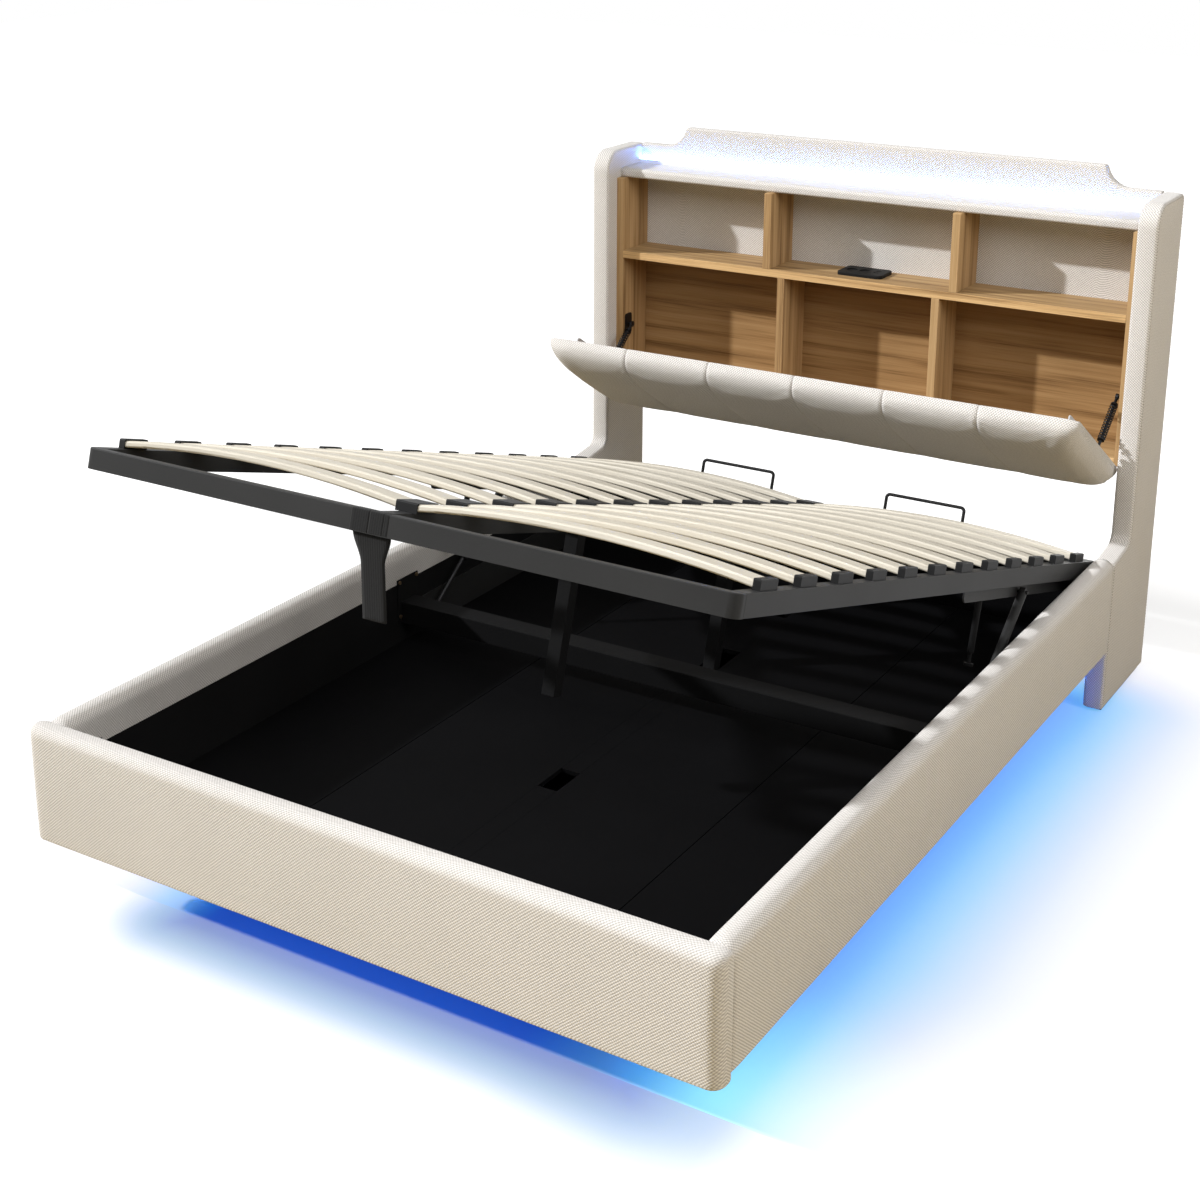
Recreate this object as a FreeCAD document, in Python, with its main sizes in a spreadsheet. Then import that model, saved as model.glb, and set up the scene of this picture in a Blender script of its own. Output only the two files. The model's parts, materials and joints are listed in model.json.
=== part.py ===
import FreeCAD, Part
import math
import os
import re
from FreeCAD import Placement, Rotation, Vector
import Sketcher

os.makedirs("parts", exist_ok=True)
doc = FreeCAD.newDocument("storage_bed")
sheet = doc.addObject("Spreadsheet::Sheet", "sizes")

# Driving sizes in millimetres, angles in degrees; a value that starts with = follows from others.
# The bed stands on z = 0, its head points to +Y and the origin lies under the middle.
sizes = {
    "bed_length": 2278, "bed_width": 1490,
    "rail_thick": 52, "rail_bottom": 154, "rail_top": 388, "rail_round": 22, "rail_hem": 6,
    "foot_thick": 52, "foot_bottom": 150, "foot_top": 391, "foot_proud": 5,
    "foot_corner": 24, "foot_back_corner": 12, "foot_round": 20, "foot_hem": 6,
    "wing_thick": 48, "wing_depth": 200, "wing_base_depth": 319, "wing_height": 1198,
    "step_low": 376, "step_high": 391, "step_round": 28, "step_nose": 10,
    "wing_crown": 52, "wing_heel": 14, "wing_edge": 8,
    "glide_height": 8, "glide_width": 34, "glide_inset": 16,
    "back_thick": 25, "shoulder_height": 1200, "crest_height": 1251,
    "crest_inset": 183, "crest_half": "=bed_width/2-crest_inset", "crest_run": 19,
    "crest_foot": "=crest_half+crest_run", "crest_sweep": 62, "crest_round": 9, "back_edge": 6,
    "cabinet_setback": 44, "cabinet_bottom": 560, "cabinet_top": 1125, "oak_thick": 20,
    "shelf_under": 910, "upper_divider_at": 252, "lower_divider_at": 209, "lower_back_thick": 6,
    "top_shelf_thick": 24, "top_shelf_setback": 18, "top_shelf_nose": 9,
    "light_width": 12, "light_height": 10,
    "outlet_long": 121, "outlet_deep": 80, "outlet_high": 9, "outlet_from_back": 15, "outlet_at": -12,
    "outlet_corner": 12, "outlet_bevel": 2, "socket_size": 27, "socket_pitch": 34, "socket_depth": 3,
    "usb_wide": 14, "usb_high": 6, "usb_pitch": 11,
    "liner_thick": 2, "liner_top": 312, "floor_thick": 10, "floor_gap": 1, "floor_seam": 2,
    "leg_channel": 46, "swing_first": 60, "swing_second": 97, "swing_third": 146,
    "head_panel_thick": 12, "head_panel_top": 352, "head_panel_at": 254,
    "plinth_half": 430, "plinth_board": 25, "plinth_foot_inset": 200, "plinth_head_inset": 330,
    "plinth_share_near": 0.46, "plinth_share_far": 0.79,
    "strip_deep": 6, "strip_high": 12, "strip_drop": 40,
    "beam_from_pivot": 830, "beam_deep": 55, "beam_high": 50, "beam_lift": 52,
    "bracket_thick": 3, "bracket_wide": 80, "bracket_top": 324, "corner_long": 84, "corner_high": 48,
    "screw_head": 9, "screw_high": 3, "screw_inset": 7, "screw_low": 18,
    "pivot_from_head": 333, "pivot_height": 330, "lift_angle": 16.83, "foot_clearance": 8,
    "frame_gap": 5, "frame_half": "=bed_width/2-rail_thick-liner_thick-frame_gap",
    "tube_wide": 26, "tube_high": 40, "tube_wall": 2, "tube_over_pivot": 6,
    "tube_corner": 18, "tube_edge": 2, "head_overrun": 45, "beam_wide": 30,
    "slat_count": 12, "slat_first": 113, "slat_last": 71.4, "slat_wide": 60, "slat_thick": 13,
    "slat_pitch": "=(bed_length-pivot_from_head-foot_thick-foot_clearance-slat_first-slat_last)/(slat_count-1)",
    "slat_bow": 24, "slat_seat": 1.5, "slat_clear": 0.3, "slat_round": 4,
    "cap_wide": 64, "cap_long": 14, "cap_high": 19, "cap_inset": 4, "cap_wall": 3, "cap_round": 3,
    "double_cap_long": 46,
    "leg_wide": 30, "leg_first": 1205, "leg_second": 488, "leg_third": 70, "leg_floor_gap": 1, "leg_round": 4,
    "bar_thick": 3.5, "bar_drop": 24, "bar_rise": 24, "bar_flange": 26,
    "bar_long": 770, "bar_tail": 15, "bar_round": 14,
    "side_leg_at": 628, "side_leg_inset": 15, "side_leg_tube": 14, "side_leg_rod": 8, "side_leg_pad": 20,
    "side_leg_rod_long": 22, "side_leg_chamfer": 2, "side_leg_pad_high": 6, "side_leg_gap": 0.5,
    "stop_at": 257, "stop_wide": 210, "stop_high": 70, "stop_wire": 8, "stop_bend": 9,
    "strap_at": -15, "strap_wide": 50, "strap_wrap": 80, "strap_thick": 3, "strap_drop": 158, "strap_gap": 0.4,
    "strap_taper": 52, "strap_edge": 2.7, "strap_turn": 5,
    "pivot_stud": 10, "stud_clear": 0.3,
    "plate_thick": 3.5, "plate_low": 168, "plate_high": 84, "plate_back": 46, "plate_run": 88,
    "plate_nose": 22, "plate_round": 18,
    "strut_pivot_at": 425, "strut_pivot_drop": 12, "strut_pin": 8,
    "strut_base_at": 710, "strut_base_drop": 125, "strut_angle": 35.988, "strut_long": 390.75,
    "slot_angle": 157, "slot_half": 18.4, "slot_clear": 0.4,
    "strut_tube": 20, "strut_bore": 16.6, "strut_rod": 10, "strut_tube_long": 232, "strut_rod_long": 262,
    "strut_eye": 20, "strut_eye_wide": 12, "strut_gap": 3, "strut_plug": 8, "strut_gland": 10, "strut_neck": 6,
    "flap_angle": 58.4, "hinge_drop": 4, "flap_gap": 1, "flap_long": 400, "flap_side_gap": 6,
    "flap_half": "=bed_width/2-wing_thick-flap_side_gap",
    "flap_wrap": 19, "flap_board_half": "=flap_half-flap_wrap",
    "flap_thick": 47, "flap_seam_thick": 39, "flap_end_thick": 12, "flap_nose": 20, "flap_lip": 5,
    "channel_count": 6, "seam_tuck": 7, "end_tuck": 12, "seam_run": 20, "end_run": 46,
    "flap_board_thick": 12, "flap_board_long": 374,
    "soft_clear": 0.3,
    "butt_long": 60, "butt_at": 480, "butt_leaf": 1.5, "butt_knuckle": 7, "butt_pin": 3, "butt_reach": 28,
    "stay_pin_y": 28.4, "stay_pin_z": 166.8, "stay_angle": 216.634, "stay_long": 153.8, "stay_slot": 14,
    "stay_inset": 13, "stay_pin": 6, "stay_rod": 7, "stay_eye": 16, "stay_eye_wide": 6,
    "stay_tip": 13, "stay_pin_over": 1,
    "stay_collar": 17, "stay_collar_long": 4, "spring_start": 26, "spring_long": 102, "spring_turns": 12,
    "spring_radius": 8, "spring_wire": 3, "stay_plate": 2.5, "stay_plate_wide": 34, "stay_plate_high": 58,
    "track_low": 104, "track_high": 340, "track_tall": 26, "track_plate": 3, "track_flange": 18,
    "track_base": 2.5, "track_round": 8, "track_gap": 12,
    "track_start": 119.9, "track_end": 319.9, "track_clear": 0.4,
}
for row, (word, amount) in enumerate(sizes.items(), start=1):
    sheet.set("A%d" % row, word)
    sheet.set("B%d" % row, str(amount))
    sheet.setAlias("B%d" % row, word)
doc.recompute()

nodes = []


# Puts the sheet's name before each of its values in a formula.
def link(text):
    return re.sub(r"[a-z_]+", lambda m: "sizes." + m.group(0) if m.group(0) in sizes else m.group(0), text)


def num(text):
    value = sheet.evalExpression(link(text))
    return float(getattr(value, "Value", value))


def bind(obj, prop, text):
    obj.setExpression(prop, link(text))


head_y = "bed_length/2"
foot_y = "-bed_length/2"
rail_inner = "(bed_width/2-rail_thick)"
liner_inner = "(bed_width/2-rail_thick-liner_thick)"
wing_inner = "(bed_width/2-wing_thick)"
floor_top = "(rail_bottom+floor_thick)"
cabinet_front = "(bed_length/2-wing_depth+cabinet_setback)"
cabinet_back = "(bed_length/2-back_thick)"
lift_y = "(bed_length/2-pivot_from_head)"
frame_long = "(bed_length-pivot_from_head-foot_thick-foot_clearance)"
flap_z = "(cabinet_bottom-hinge_drop)"

# Carriers: height and depth of the turning axis, angle at rest, sense of turn about +X.
carriers = {
    "bed": ("0", "0", "0", 1),
    "lift": (lift_y, "pivot_height", "lift_angle", -1),
    "flap": (cabinet_front, flap_z, "flap_angle", 1),
    "stay": (cabinet_front + "+stay_pin_y", flap_z + "+stay_pin_z", "stay_angle+90", 1),
    "strut": (lift_y + "-strut_pivot_at*cos(lift_angle*1deg)-strut_pivot_drop*sin(lift_angle*1deg)",
              "pivot_height+strut_pivot_at*sin(lift_angle*1deg)-strut_pivot_drop*cos(lift_angle*1deg)",
              "90-strut_angle", -1),
}


# Seats a piece at a local point of its carrier and turns it with the carrier.
def place(obj, at, carrier="bed"):
    x, y, z = at
    axis_y, axis_z, angle, sense = carriers[carrier]
    turn = "(%s)*1deg" % angle
    if carrier != "bed":
        obj.Placement = Placement(Vector(), Rotation(Vector(sense, 0, 0), num(angle)))
        bind(obj, "Placement.Rotation.Angle", angle)
    side = "-" if sense > 0 else "+"
    back = "+" if sense > 0 else "-"
    bind(obj, "Placement.Base.x", x)
    bind(obj, "Placement.Base.y", "%s+(%s)*cos(%s)%s(%s)*sin(%s)" % (axis_y, y, turn, side, z, turn))
    bind(obj, "Placement.Base.z", "%s%s(%s)*sin(%s)+(%s)*cos(%s)" % (axis_z, back, y, turn, z, turn))
    return obj


def node(obj, label=None):
    if label:
        obj.Label = label
    nodes.append(obj)
    return obj


def box(label, size, at, carrier="bed"):
    obj = doc.addObject("Part::Box", label)
    for prop, text in zip(("Length", "Width", "Height"), size):
        bind(obj, prop, text)
    return place(obj, at, carrier)


def compound(label, members):
    obj = doc.addObject("Part::Compound", label)
    obj.Links = members
    return node(obj)


def cut(label, base, tool):
    obj = doc.addObject("Part::Cut", label)
    obj.Base = base
    obj.Tool = tool
    return node(obj)


def solid(label, shape, at=("0", "0", "0"), carrier="bed"):
    obj = doc.addObject("Part::Feature", label)
    obj.Shape = shape
    return node(place(obj, at, carrier))


# Lower x of a slab that lies between two distances from the middle, on one side of the bed.
def lateral(sign, inner, thick):
    return inner if sign > 0 else "-(%s)-(%s)" % (inner, thick)


def rounded(body, radius, test):
    doc.recompute()
    shape = body.Tip.Shape
    names = ["Edge%d" % (i + 1) for i, edge in enumerate(shape.Edges) if test(edge, shape.BoundBox)]
    base = body.Tip
    feature = body.newObject("PartDesign::Fillet", body.Name + "_round")
    feature.Base = (base, names)
    bind(feature, "Radius", radius)
    base.Visibility = False
    doc.recompute()
    return feature


# True for an edge that runs along an axis, at the given end of the solid in the other directions.
def runs(axis, **ends):
    def test(edge, bounds):
        start, stop = edge.Vertexes[0].Point, edge.Vertexes[-1].Point
        span = stop - start
        if abs(abs(span[axis]) - edge.Length) > 0.01:
            return False
        for word, end in ends.items():
            limit = getattr(bounds, word.upper() + ("Max" if end > 0 else "Min"))
            if abs(start["xyz".index(word)] - limit) > 0.01:
                return False
        return True
    return test


# True for each edge whose middle lies in an end plane of the solid.
def rim(word, end):
    def test(edge, bounds):
        limit = getattr(bounds, word.upper() + ("Max" if end > 0 else "Min"))
        index = "xyz".index(word)
        return all(abs(v.Point[index] - limit) < 0.01 for v in edge.Vertexes)
    return test


def padded_box(label, size, at):
    body = doc.addObject("PartDesign::Body", label)
    core = body.newObject("PartDesign::AdditiveBox", label + "_core")
    for prop, text in zip(("Length", "Width", "Height"), size):
        bind(core, prop, text)
    place(body, at)
    doc.recompute()
    return node(body)


# Pads a straight-sided outline, each corner tied to the sheet.
def outline_body(label, role, corners, depth, at, carrier="bed"):
    body = doc.addObject("PartDesign::Body", label)
    sketch = body.newObject("Sketcher::SketchObject", label + "_outline")
    plane = [f for f in body.Origin.OriginFeatures if f.Role == role][0]
    sketch.AttachmentSupport = [(plane, "")]
    sketch.MapMode = "FlatFace"
    points = [Vector(num(a), num(b), 0) for a, b in corners]
    count = len(points)
    for i in range(count):
        sketch.addGeometry(Part.LineSegment(points[i], points[(i + 1) % count]))
    for i in range(count):
        sketch.addConstraint(Sketcher.Constraint("Coincident", i, 2, (i + 1) % count, 1))
    for i, pair in enumerate(corners):
        for kind, axis, text, value in (("DistanceX", -2, pair[0], points[i].x),
                                        ("DistanceY", -1, pair[1], points[i].y)):
            if abs(value) < 1e-9:
                sketch.addConstraint(Sketcher.Constraint("PointOnObject", i, 1, axis))
            else:
                index = sketch.addConstraint(Sketcher.Constraint(kind, -1, 1, i, 1, value))
                bind(sketch, "Constraints[%d]" % index, text)
    pad = body.newObject("PartDesign::Pad", label + "_pad")
    pad.Profile = sketch
    bind(pad, "Length", depth)
    sketch.Visibility = False
    place(body, at, carrier)
    doc.recompute()
    return node(body)


# Edges along an axis through one corner of an outline, given in the body's own plane.
def corner(axis, first, second):
    others = [i for i in range(3) if i != axis]

    def test(edge, bounds):
        if len(edge.Vertexes) < 2:
            return False
        start, stop = edge.Vertexes[0].Point, edge.Vertexes[-1].Point
        near = [abs(start[o] - v) < 0.01 and abs(stop[o] - v) < 0.01 for o, v in zip(others, (first, second))]
        return all(near)
    return test


# Footboard and side rails, upholstered with soft edges.
foot = padded_box("footboard", ("bed_width+2*foot_proud", "foot_thick", "foot_top-foot_bottom"),
                  ("-bed_width/2-foot_proud", foot_y, "foot_bottom"))
rounded(foot, "foot_corner", runs(2, y=-1))
rounded(foot, "foot_back_corner", runs(2, y=1))
rounded(foot, "foot_round", rim("z", 1))
rounded(foot, "foot_hem", rim("z", -1))
for side, sign in (("left", -1), ("right", 1)):
    rail = padded_box("side_rail_" + side,
                      ("rail_thick", "bed_length-foot_thick-wing_base_depth", "rail_top-rail_bottom"),
                      (lateral(sign, rail_inner, "rail_thick"), foot_y + "+foot_thick", "rail_bottom"))
    rounded(rail, "rail_round", runs(1, z=1))
    rounded(rail, "rail_hem", runs(1, z=-1))

# Headboard wings: deep at the base, stepped back above the rails, rounded at the top.
step = "wing_base_depth-wing_depth"
for side, sign in (("left", -1), ("right", 1)):
    wing = outline_body("wing_" + side, "YZ_Plane",
                        [("0", "0"), ("0", "step_low-glide_height"), (step, "step_high-glide_height"),
                         (step, "wing_height-glide_height"), ("wing_base_depth", "wing_height-glide_height"),
                         ("wing_base_depth", "0")],
                        "wing_thick",
                        (lateral(sign, wing_inner, "wing_thick"), head_y + "-wing_base_depth", "glide_height"))
    rounded(wing, "wing_crown", corner(0, num(step), num("wing_height-glide_height")))
    rounded(wing, "step_round", corner(0, num(step), num("step_high-glide_height")))
    rounded(wing, "wing_heel", corner(0, num("wing_base_depth"), num("wing_height-glide_height")))
    rounded(wing, "step_nose", corner(0, 0, num("step_low-glide_height")))
    front_edge = [rim("x", 1), rim("x", -1)]
    rounded(wing, "wing_edge",
            lambda edge, b: any(t(edge, b) for t in front_edge) and edge.CenterOfMass.z > 1)
compound("wing_glides", [
    box("glide_" + side, ("glide_width", "wing_base_depth-2*glide_inset", "glide_height"),
        (lateral(sign, wing_inner + "+(wing_thick-glide_width)/2", "glide_width"),
         head_y + "-wing_base_depth+glide_inset", "0"))
    for side, sign in (("left", -1), ("right", 1))])

# Crest board: straight shoulders that sweep up into a raised middle.
half = wing_inner
rise = "crest_height-cabinet_bottom"
shoulder = "shoulder_height-cabinet_bottom"
crest = outline_body("back_panel", "XZ_Plane",
                     [("0", "0"), ("2*" + half, "0"), ("2*" + half, shoulder), (half + "+crest_foot", shoulder),
                      (half + "+crest_half", rise), (half + "-crest_half", rise), (half + "-crest_foot", shoulder),
                      ("0", shoulder)],
                     "back_thick", ("-" + half, head_y, "cabinet_bottom"))
for way in (-1, 1):
    rounded(crest, "crest_sweep", corner(1, num(half) + way * num("crest_foot"), num(shoulder)))
    rounded(crest, "crest_round", corner(1, num(half) + way * num("crest_half"), num(rise)))
rounded(crest, "back_edge", lambda edge, b: edge.BoundBox.ZMin > num(shoulder) - 0.01
        and edge.BoundBox.YLength < 0.01)

# Oak cabinet between the wings.
deep = cabinet_back + "-" + cabinet_front
oak_inner = "(bed_width/2-wing_thick-oak_thick)"
for side, sign in (("left", -1), ("right", 1)):
    node(box("cabinet_side_" + side, ("oak_thick", deep, "cabinet_top-cabinet_bottom"),
             (lateral(sign, oak_inner, "oak_thick"), cabinet_front, "cabinet_bottom")))
node(box("cabinet_bottom_board", ("2*" + oak_inner, deep, "oak_thick"),
         ("-" + oak_inner, cabinet_front, "cabinet_bottom")))
node(box("mid_shelf", ("2*" + oak_inner, deep, "oak_thick"), ("-" + oak_inner, cabinet_front, "shelf_under")))
for side, sign in (("left", -1), ("right", 1)):
    node(box("upper_divider_" + side, ("oak_thick", deep, "cabinet_top-shelf_under-oak_thick"),
             (lateral(sign, "upper_divider_at-oak_thick/2", "oak_thick"), cabinet_front, "shelf_under+oak_thick")))
    node(box("lower_divider_" + side,
             ("oak_thick", deep + "-lower_back_thick", "shelf_under-cabinet_bottom-oak_thick"),
             (lateral(sign, "lower_divider_at-oak_thick/2", "oak_thick"), cabinet_front,
              "cabinet_bottom+oak_thick")))
node(box("lower_back", ("2*" + oak_inner, "lower_back_thick", "shelf_under-cabinet_bottom-oak_thick"),
         ("-" + oak_inner, cabinet_back + "-lower_back_thick", "cabinet_bottom+oak_thick")))
shelf = padded_box("top_shelf", ("2*" + wing_inner, deep + "-top_shelf_setback", "top_shelf_thick"),
                   ("-" + wing_inner, cabinet_front + "+top_shelf_setback", "cabinet_top"))
rounded(shelf, "top_shelf_nose", runs(0, y=-1))
node(box("crest_light", ("2*" + wing_inner, "light_width", "light_height"),
         ("-" + wing_inner, cabinet_back + "-light_width", "cabinet_top+top_shelf_thick")))

# Power outlet: bevelled slab with two round sockets and two charging slots sunk into its top.
outlet = padded_box("power_outlet", ("outlet_long", "outlet_deep", "outlet_high"),
                    ("outlet_at-outlet_long/2", cabinet_back + "-outlet_from_back-outlet_deep",
                     "shelf_under+oak_thick"))
rounded(outlet, "outlet_corner", runs(2))
rounded(outlet, "outlet_bevel", rim("z", 1))
for i, spot in enumerate(("outlet_long/2-socket_pitch", "outlet_long/2")):
    well = outlet.newObject("PartDesign::SubtractiveCylinder", "socket_%d" % i)
    bind(well, "Radius", "socket_size/2")
    bind(well, "Height", "socket_depth")
    bind(well, "Placement.Base.x", spot)
    bind(well, "Placement.Base.y", "outlet_deep/2")
    bind(well, "Placement.Base.z", "outlet_high-socket_depth")
for i, spot in enumerate(("outlet_deep/2-usb_pitch/2-usb_high", "outlet_deep/2+usb_pitch/2")):
    well = outlet.newObject("PartDesign::SubtractiveBox", "charge_slot_%d" % i)
    bind(well, "Length", "usb_wide")
    bind(well, "Width", "usb_high")
    bind(well, "Height", "socket_depth")
    bind(well, "Placement.Base.x", "outlet_long/2+socket_pitch-usb_wide/2")
    bind(well, "Placement.Base.y", spot)
    bind(well, "Placement.Base.z", "outlet_high-socket_depth")

# Storage box: liners, head panel, floor boards with open places for the legs, plinth, light strips.
liner_long = "bed_length-foot_thick-wing_base_depth"
liner_high = "liner_top-" + floor_top
liners = [box("liner_" + side, ("liner_thick", liner_long, liner_high),
              (lateral(sign, liner_inner, "liner_thick"), foot_y + "+foot_thick", floor_top))
          for side, sign in (("left", -1), ("right", 1))]
liners.append(box("liner_foot", ("2*" + liner_inner, "liner_thick", liner_high),
                  ("-" + liner_inner, foot_y + "+foot_thick", floor_top)))
compound("storage_liner", liners)
node(box("head_panel", ("2*" + wing_inner, "head_panel_thick", "head_panel_top-rail_bottom"),
         ("-" + wing_inner, head_y + "-head_panel_at-head_panel_thick", "rail_bottom")))
floor_start = foot_y + "+foot_thick"
floor_long = "(bed_length-foot_thick-head_panel_at-head_panel_thick)"
board_wide = "((%s-leg_channel/2-floor_seam-floor_gap)/2)" % rail_inner
boards = []
for side, sign in (("left", -1), ("right", 1)):
    boards.append(box("floor_inner_" + side, (board_wide, floor_long, "floor_thick"),
                      (lateral(sign, "leg_channel/2", board_wide), floor_start, "rail_bottom")))
    boards.append(box("floor_outer_" + side, (board_wide, floor_long, "floor_thick"),
                      (lateral(sign, "leg_channel/2+floor_seam+" + board_wide, board_wide), floor_start,
                       "rail_bottom")))
compound("floor_boards", boards)
stops = [floor_start]
for word in ("first", "second", "third"):
    centre = lift_y + "-leg_" + word
    stops.append(centre + "-swing_" + word)
    stops.append(centre + "+leg_wide")
stops.append(head_y + "-head_panel_at-head_panel_thick")
compound("floor_center_strips", [
    box("floor_strip_%d" % i, ("leg_channel", "(%s)-(%s)" % (stops[2 * i + 1], stops[2 * i]), "floor_thick"),
        ("-leg_channel/2", stops[2 * i], "rail_bottom"))
    for i in range(4)])
plinth_start = foot_y + "+plinth_foot_inset"
plinth_long = "(bed_length-plinth_foot_inset-plinth_head_inset)"
plinth = [box("plinth_side_" + side, ("plinth_board", plinth_long, "rail_bottom"),
              (lateral(sign, "plinth_half-plinth_board", "plinth_board"), plinth_start, "0"))
          for side, sign in (("left", -1), ("right", 1))]
for i, share in enumerate(("0", "plinth_share_near", "plinth_share_far", "1")):
    plinth.append(box("plinth_cross_%d" % i, ("2*(plinth_half-plinth_board)", "plinth_board", "rail_bottom"),
                      ("-plinth_half+plinth_board", "%s+%s*(%s-plinth_board)" % (plinth_start, share, plinth_long),
                       "0")))
compound("plinth", plinth)
strip_z = "rail_bottom-strip_drop"
strips = [box("strip_" + side, ("strip_deep", plinth_long, "strip_high"),
              (lateral(sign, "plinth_half", "strip_deep"), plinth_start, strip_z))
          for side, sign in (("left", -1), ("right", 1))]
strips.append(box("strip_foot", ("2*plinth_half", "strip_deep", "strip_high"),
                  ("-plinth_half", plinth_start + "-strip_deep", strip_z)))
compound("under_light", strips)

# Cross beam of the box on two saddle brackets, angle brackets in the foot corners, screws.
beam_y = lift_y + "-beam_from_pivot"
beam_z = floor_top + "+beam_lift"
saddle_inner = "(bed_width/2-rail_thick-liner_thick-bracket_thick)"
node(box("cross_beam", ("2*" + saddle_inner, "beam_deep", "beam_high"), ("-" + saddle_inner, beam_y, beam_z)))
brackets = []
screws = []
head = num("screw_head") / 2
for sign in (-1, 1):
    wall = sign * num(liner_inner)
    face = sign * num(saddle_inner)
    thick = num("bracket_thick")
    low = num(beam_z) - thick
    mid = num(beam_y + "+beam_deep/2")
    wide = num("bracket_wide")
    plate = Part.makeBox(thick, wide, num("bracket_top") - low,
                         Vector(min(wall, face), mid - wide / 2, low))
    seat = Part.makeBox(wide / 3, num("beam_deep"), thick, Vector(min(face, face - sign * wide / 3),
                                                                   num(beam_y), low))
    brackets.append(plate.fuse(seat).removeSplitter())
    inner = num(foot_y + "+foot_thick+liner_thick")
    tall = num("corner_high")
    top = num("bracket_top")
    along_rail = Part.makeBox(thick, num("corner_long"), tall, Vector(min(wall, face), inner, top - tall))
    along_foot = Part.makeBox(num("corner_long"), thick, tall,
                              Vector(min(wall, wall - sign * num("corner_long")), inner, top - tall))
    brackets.append(along_rail.fuse(along_foot).removeSplitter())
    edge = num("screw_inset")
    for y, z in ((mid - wide / 2 + edge, top - edge), (mid - wide / 2 + edge, low + num("screw_low")),
                 (mid + wide / 2 - edge, top - edge), (inner + num("corner_long") - edge, top - tall / 2),
                 (inner + num("corner_long") / 2, top - tall / 2)):
        screws.append(Part.makeCylinder(head, num("screw_high"), Vector(face, y, z), Vector(-sign, 0, 0)))
solid("rail_brackets", Part.makeCompound(brackets))
solid("bracket_screws", Part.makeCompound(screws))

# Lift frame, drawn closed with its pivot at the local origin: rectangular tubes.
tube_low = "tube_over_pivot"
tube_start = "-" + frame_long
side_inner = "(frame_half-tube_wide)"


def tube(label, size, at, axis):
    outer = box(label + "_outer", size, at, "lift")
    inner_size = [s if i == axis else "(%s)-2*tube_wall" % s for i, s in enumerate(size)]
    inner_at = [a if i == axis else "(%s)+tube_wall" % a for i, a in enumerate(at)]
    inner = box(label + "_inner", inner_size, inner_at, "lift")
    return cut(label, outer, inner)


foot_tube = doc.addObject("PartDesign::Body", "frame_foot_tube")
foot_core = foot_tube.newObject("PartDesign::AdditiveBox", "foot_tube_core")
for prop, text in zip(("Length", "Width", "Height"), ("2*frame_half", "tube_wide", "tube_high")):
    bind(foot_core, prop, text)
rounded(foot_tube, "tube_corner", runs(2, y=-1))
rounded(foot_tube, "tube_edge", rim("z", 1))
hollow = foot_tube.newObject("PartDesign::SubtractiveBox", "foot_tube_bore")
bind(hollow, "Length", "2*frame_half-2*tube_wide")
bind(hollow, "Width", "tube_wide-2*tube_wall")
bind(hollow, "Height", "tube_high-2*tube_wall")
bind(hollow, "Placement.Base.x", "tube_wide")
bind(hollow, "Placement.Base.y", "tube_wall")
bind(hollow, "Placement.Base.z", "tube_wall")
node(place(foot_tube, ("-frame_half", tube_start, tube_low), "lift"))
side_long = frame_long + "-tube_wide+head_overrun"
for side, sign in (("left", -1), ("right", 1)):
    tube("frame_side_" + side, ("tube_wide", side_long, "tube_high"),
         (lateral(sign, side_inner, "tube_wide"), tube_start + "+tube_wide", tube_low), 1)
tube("frame_head_tube", ("2*" + side_inner, "tube_wide", "tube_high"),
     ("-" + side_inner, "head_overrun-tube_wide", tube_low), 0)
tube("frame_center_beam", ("beam_wide", frame_long + "-2*tube_wide+head_overrun", "tube_high"),
     ("-beam_wide/2", tube_start + "+tube_wide", tube_low), 1)

# Bowed slats in two columns, seated in end caps.
deck = num("tube_over_pivot+tube_high")
outer_end = num("frame_half-cap_inset-cap_wall")
inner_end = num("cap_wall/2")
seat_z = deck + num("slat_seat")
pitch = num("slat_pitch")
count = int(num("slat_count"))
first = num("-%s+slat_first" % frame_long)
rows = [first + pitch * i for i in range(count)]


# Bowed strip of even thickness between the two end caps, in the upright plane across the bed,
# its four long edges rounded.
def bowed(grow):
    lower, upper = seat_z - grow, seat_z + num("slat_thick") + grow
    bow = num("slat_bow")
    middle = (outer_end + inner_end) / 2
    start, stop = inner_end - grow, outer_end + grow
    base = Part.Arc(Vector(start, 0, lower), Vector(middle, 0, lower + bow), Vector(stop, 0, lower)).toShape()
    crown = Part.Arc(Vector(stop, 0, upper), Vector(middle, 0, upper + bow), Vector(start, 0, upper)).toShape()
    ends = [Part.LineSegment(Vector(stop, 0, lower), Vector(stop, 0, upper)).toShape(),
            Part.LineSegment(Vector(start, 0, upper), Vector(start, 0, lower)).toShape()]
    face = Part.Face(Part.Wire([base, ends[0], crown, ends[1]]))
    wide = num("slat_wide") + 2 * grow
    strip = face.extrude(Vector(0, wide, 0)).translate(Vector(0, -wide / 2, 0))
    long_edges = [e for e in strip.Edges if e.BoundBox.XLength > (stop - start) / 2]
    return strip.makeFillet(num("slat_round") + grow, long_edges)


def repeat(shape):
    return [shape.copy().translate(Vector(0, y, 0)) for y in rows]


slat = bowed(0)
pocket = bowed(num("slat_clear"))
flip = Vector(1, 0, 0)
for side, sign in (("left", -1), ("right", 1)):
    own = slat if sign > 0 else slat.mirror(Vector(), flip)
    solid("slats_" + side, Part.makeCompound(repeat(own)), carrier="lift")


# Cap body with its upper edges rounded, apart from those where a slat comes out.
def cap_block(start, length, outer):
    wide, tall, soft = num("cap_wide"), num("cap_high"), num("cap_round")
    block = Part.makeBox(length, wide, tall, Vector(start, -wide / 2, deck))
    upper = [e for e in block.Edges if e.BoundBox.ZMin > deck + tall - 0.01]
    closed = [e for e in upper if e.BoundBox.XLength > length / 2 or e.BoundBox.XMin > outer]
    return block.makeFillet(soft, closed)


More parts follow.
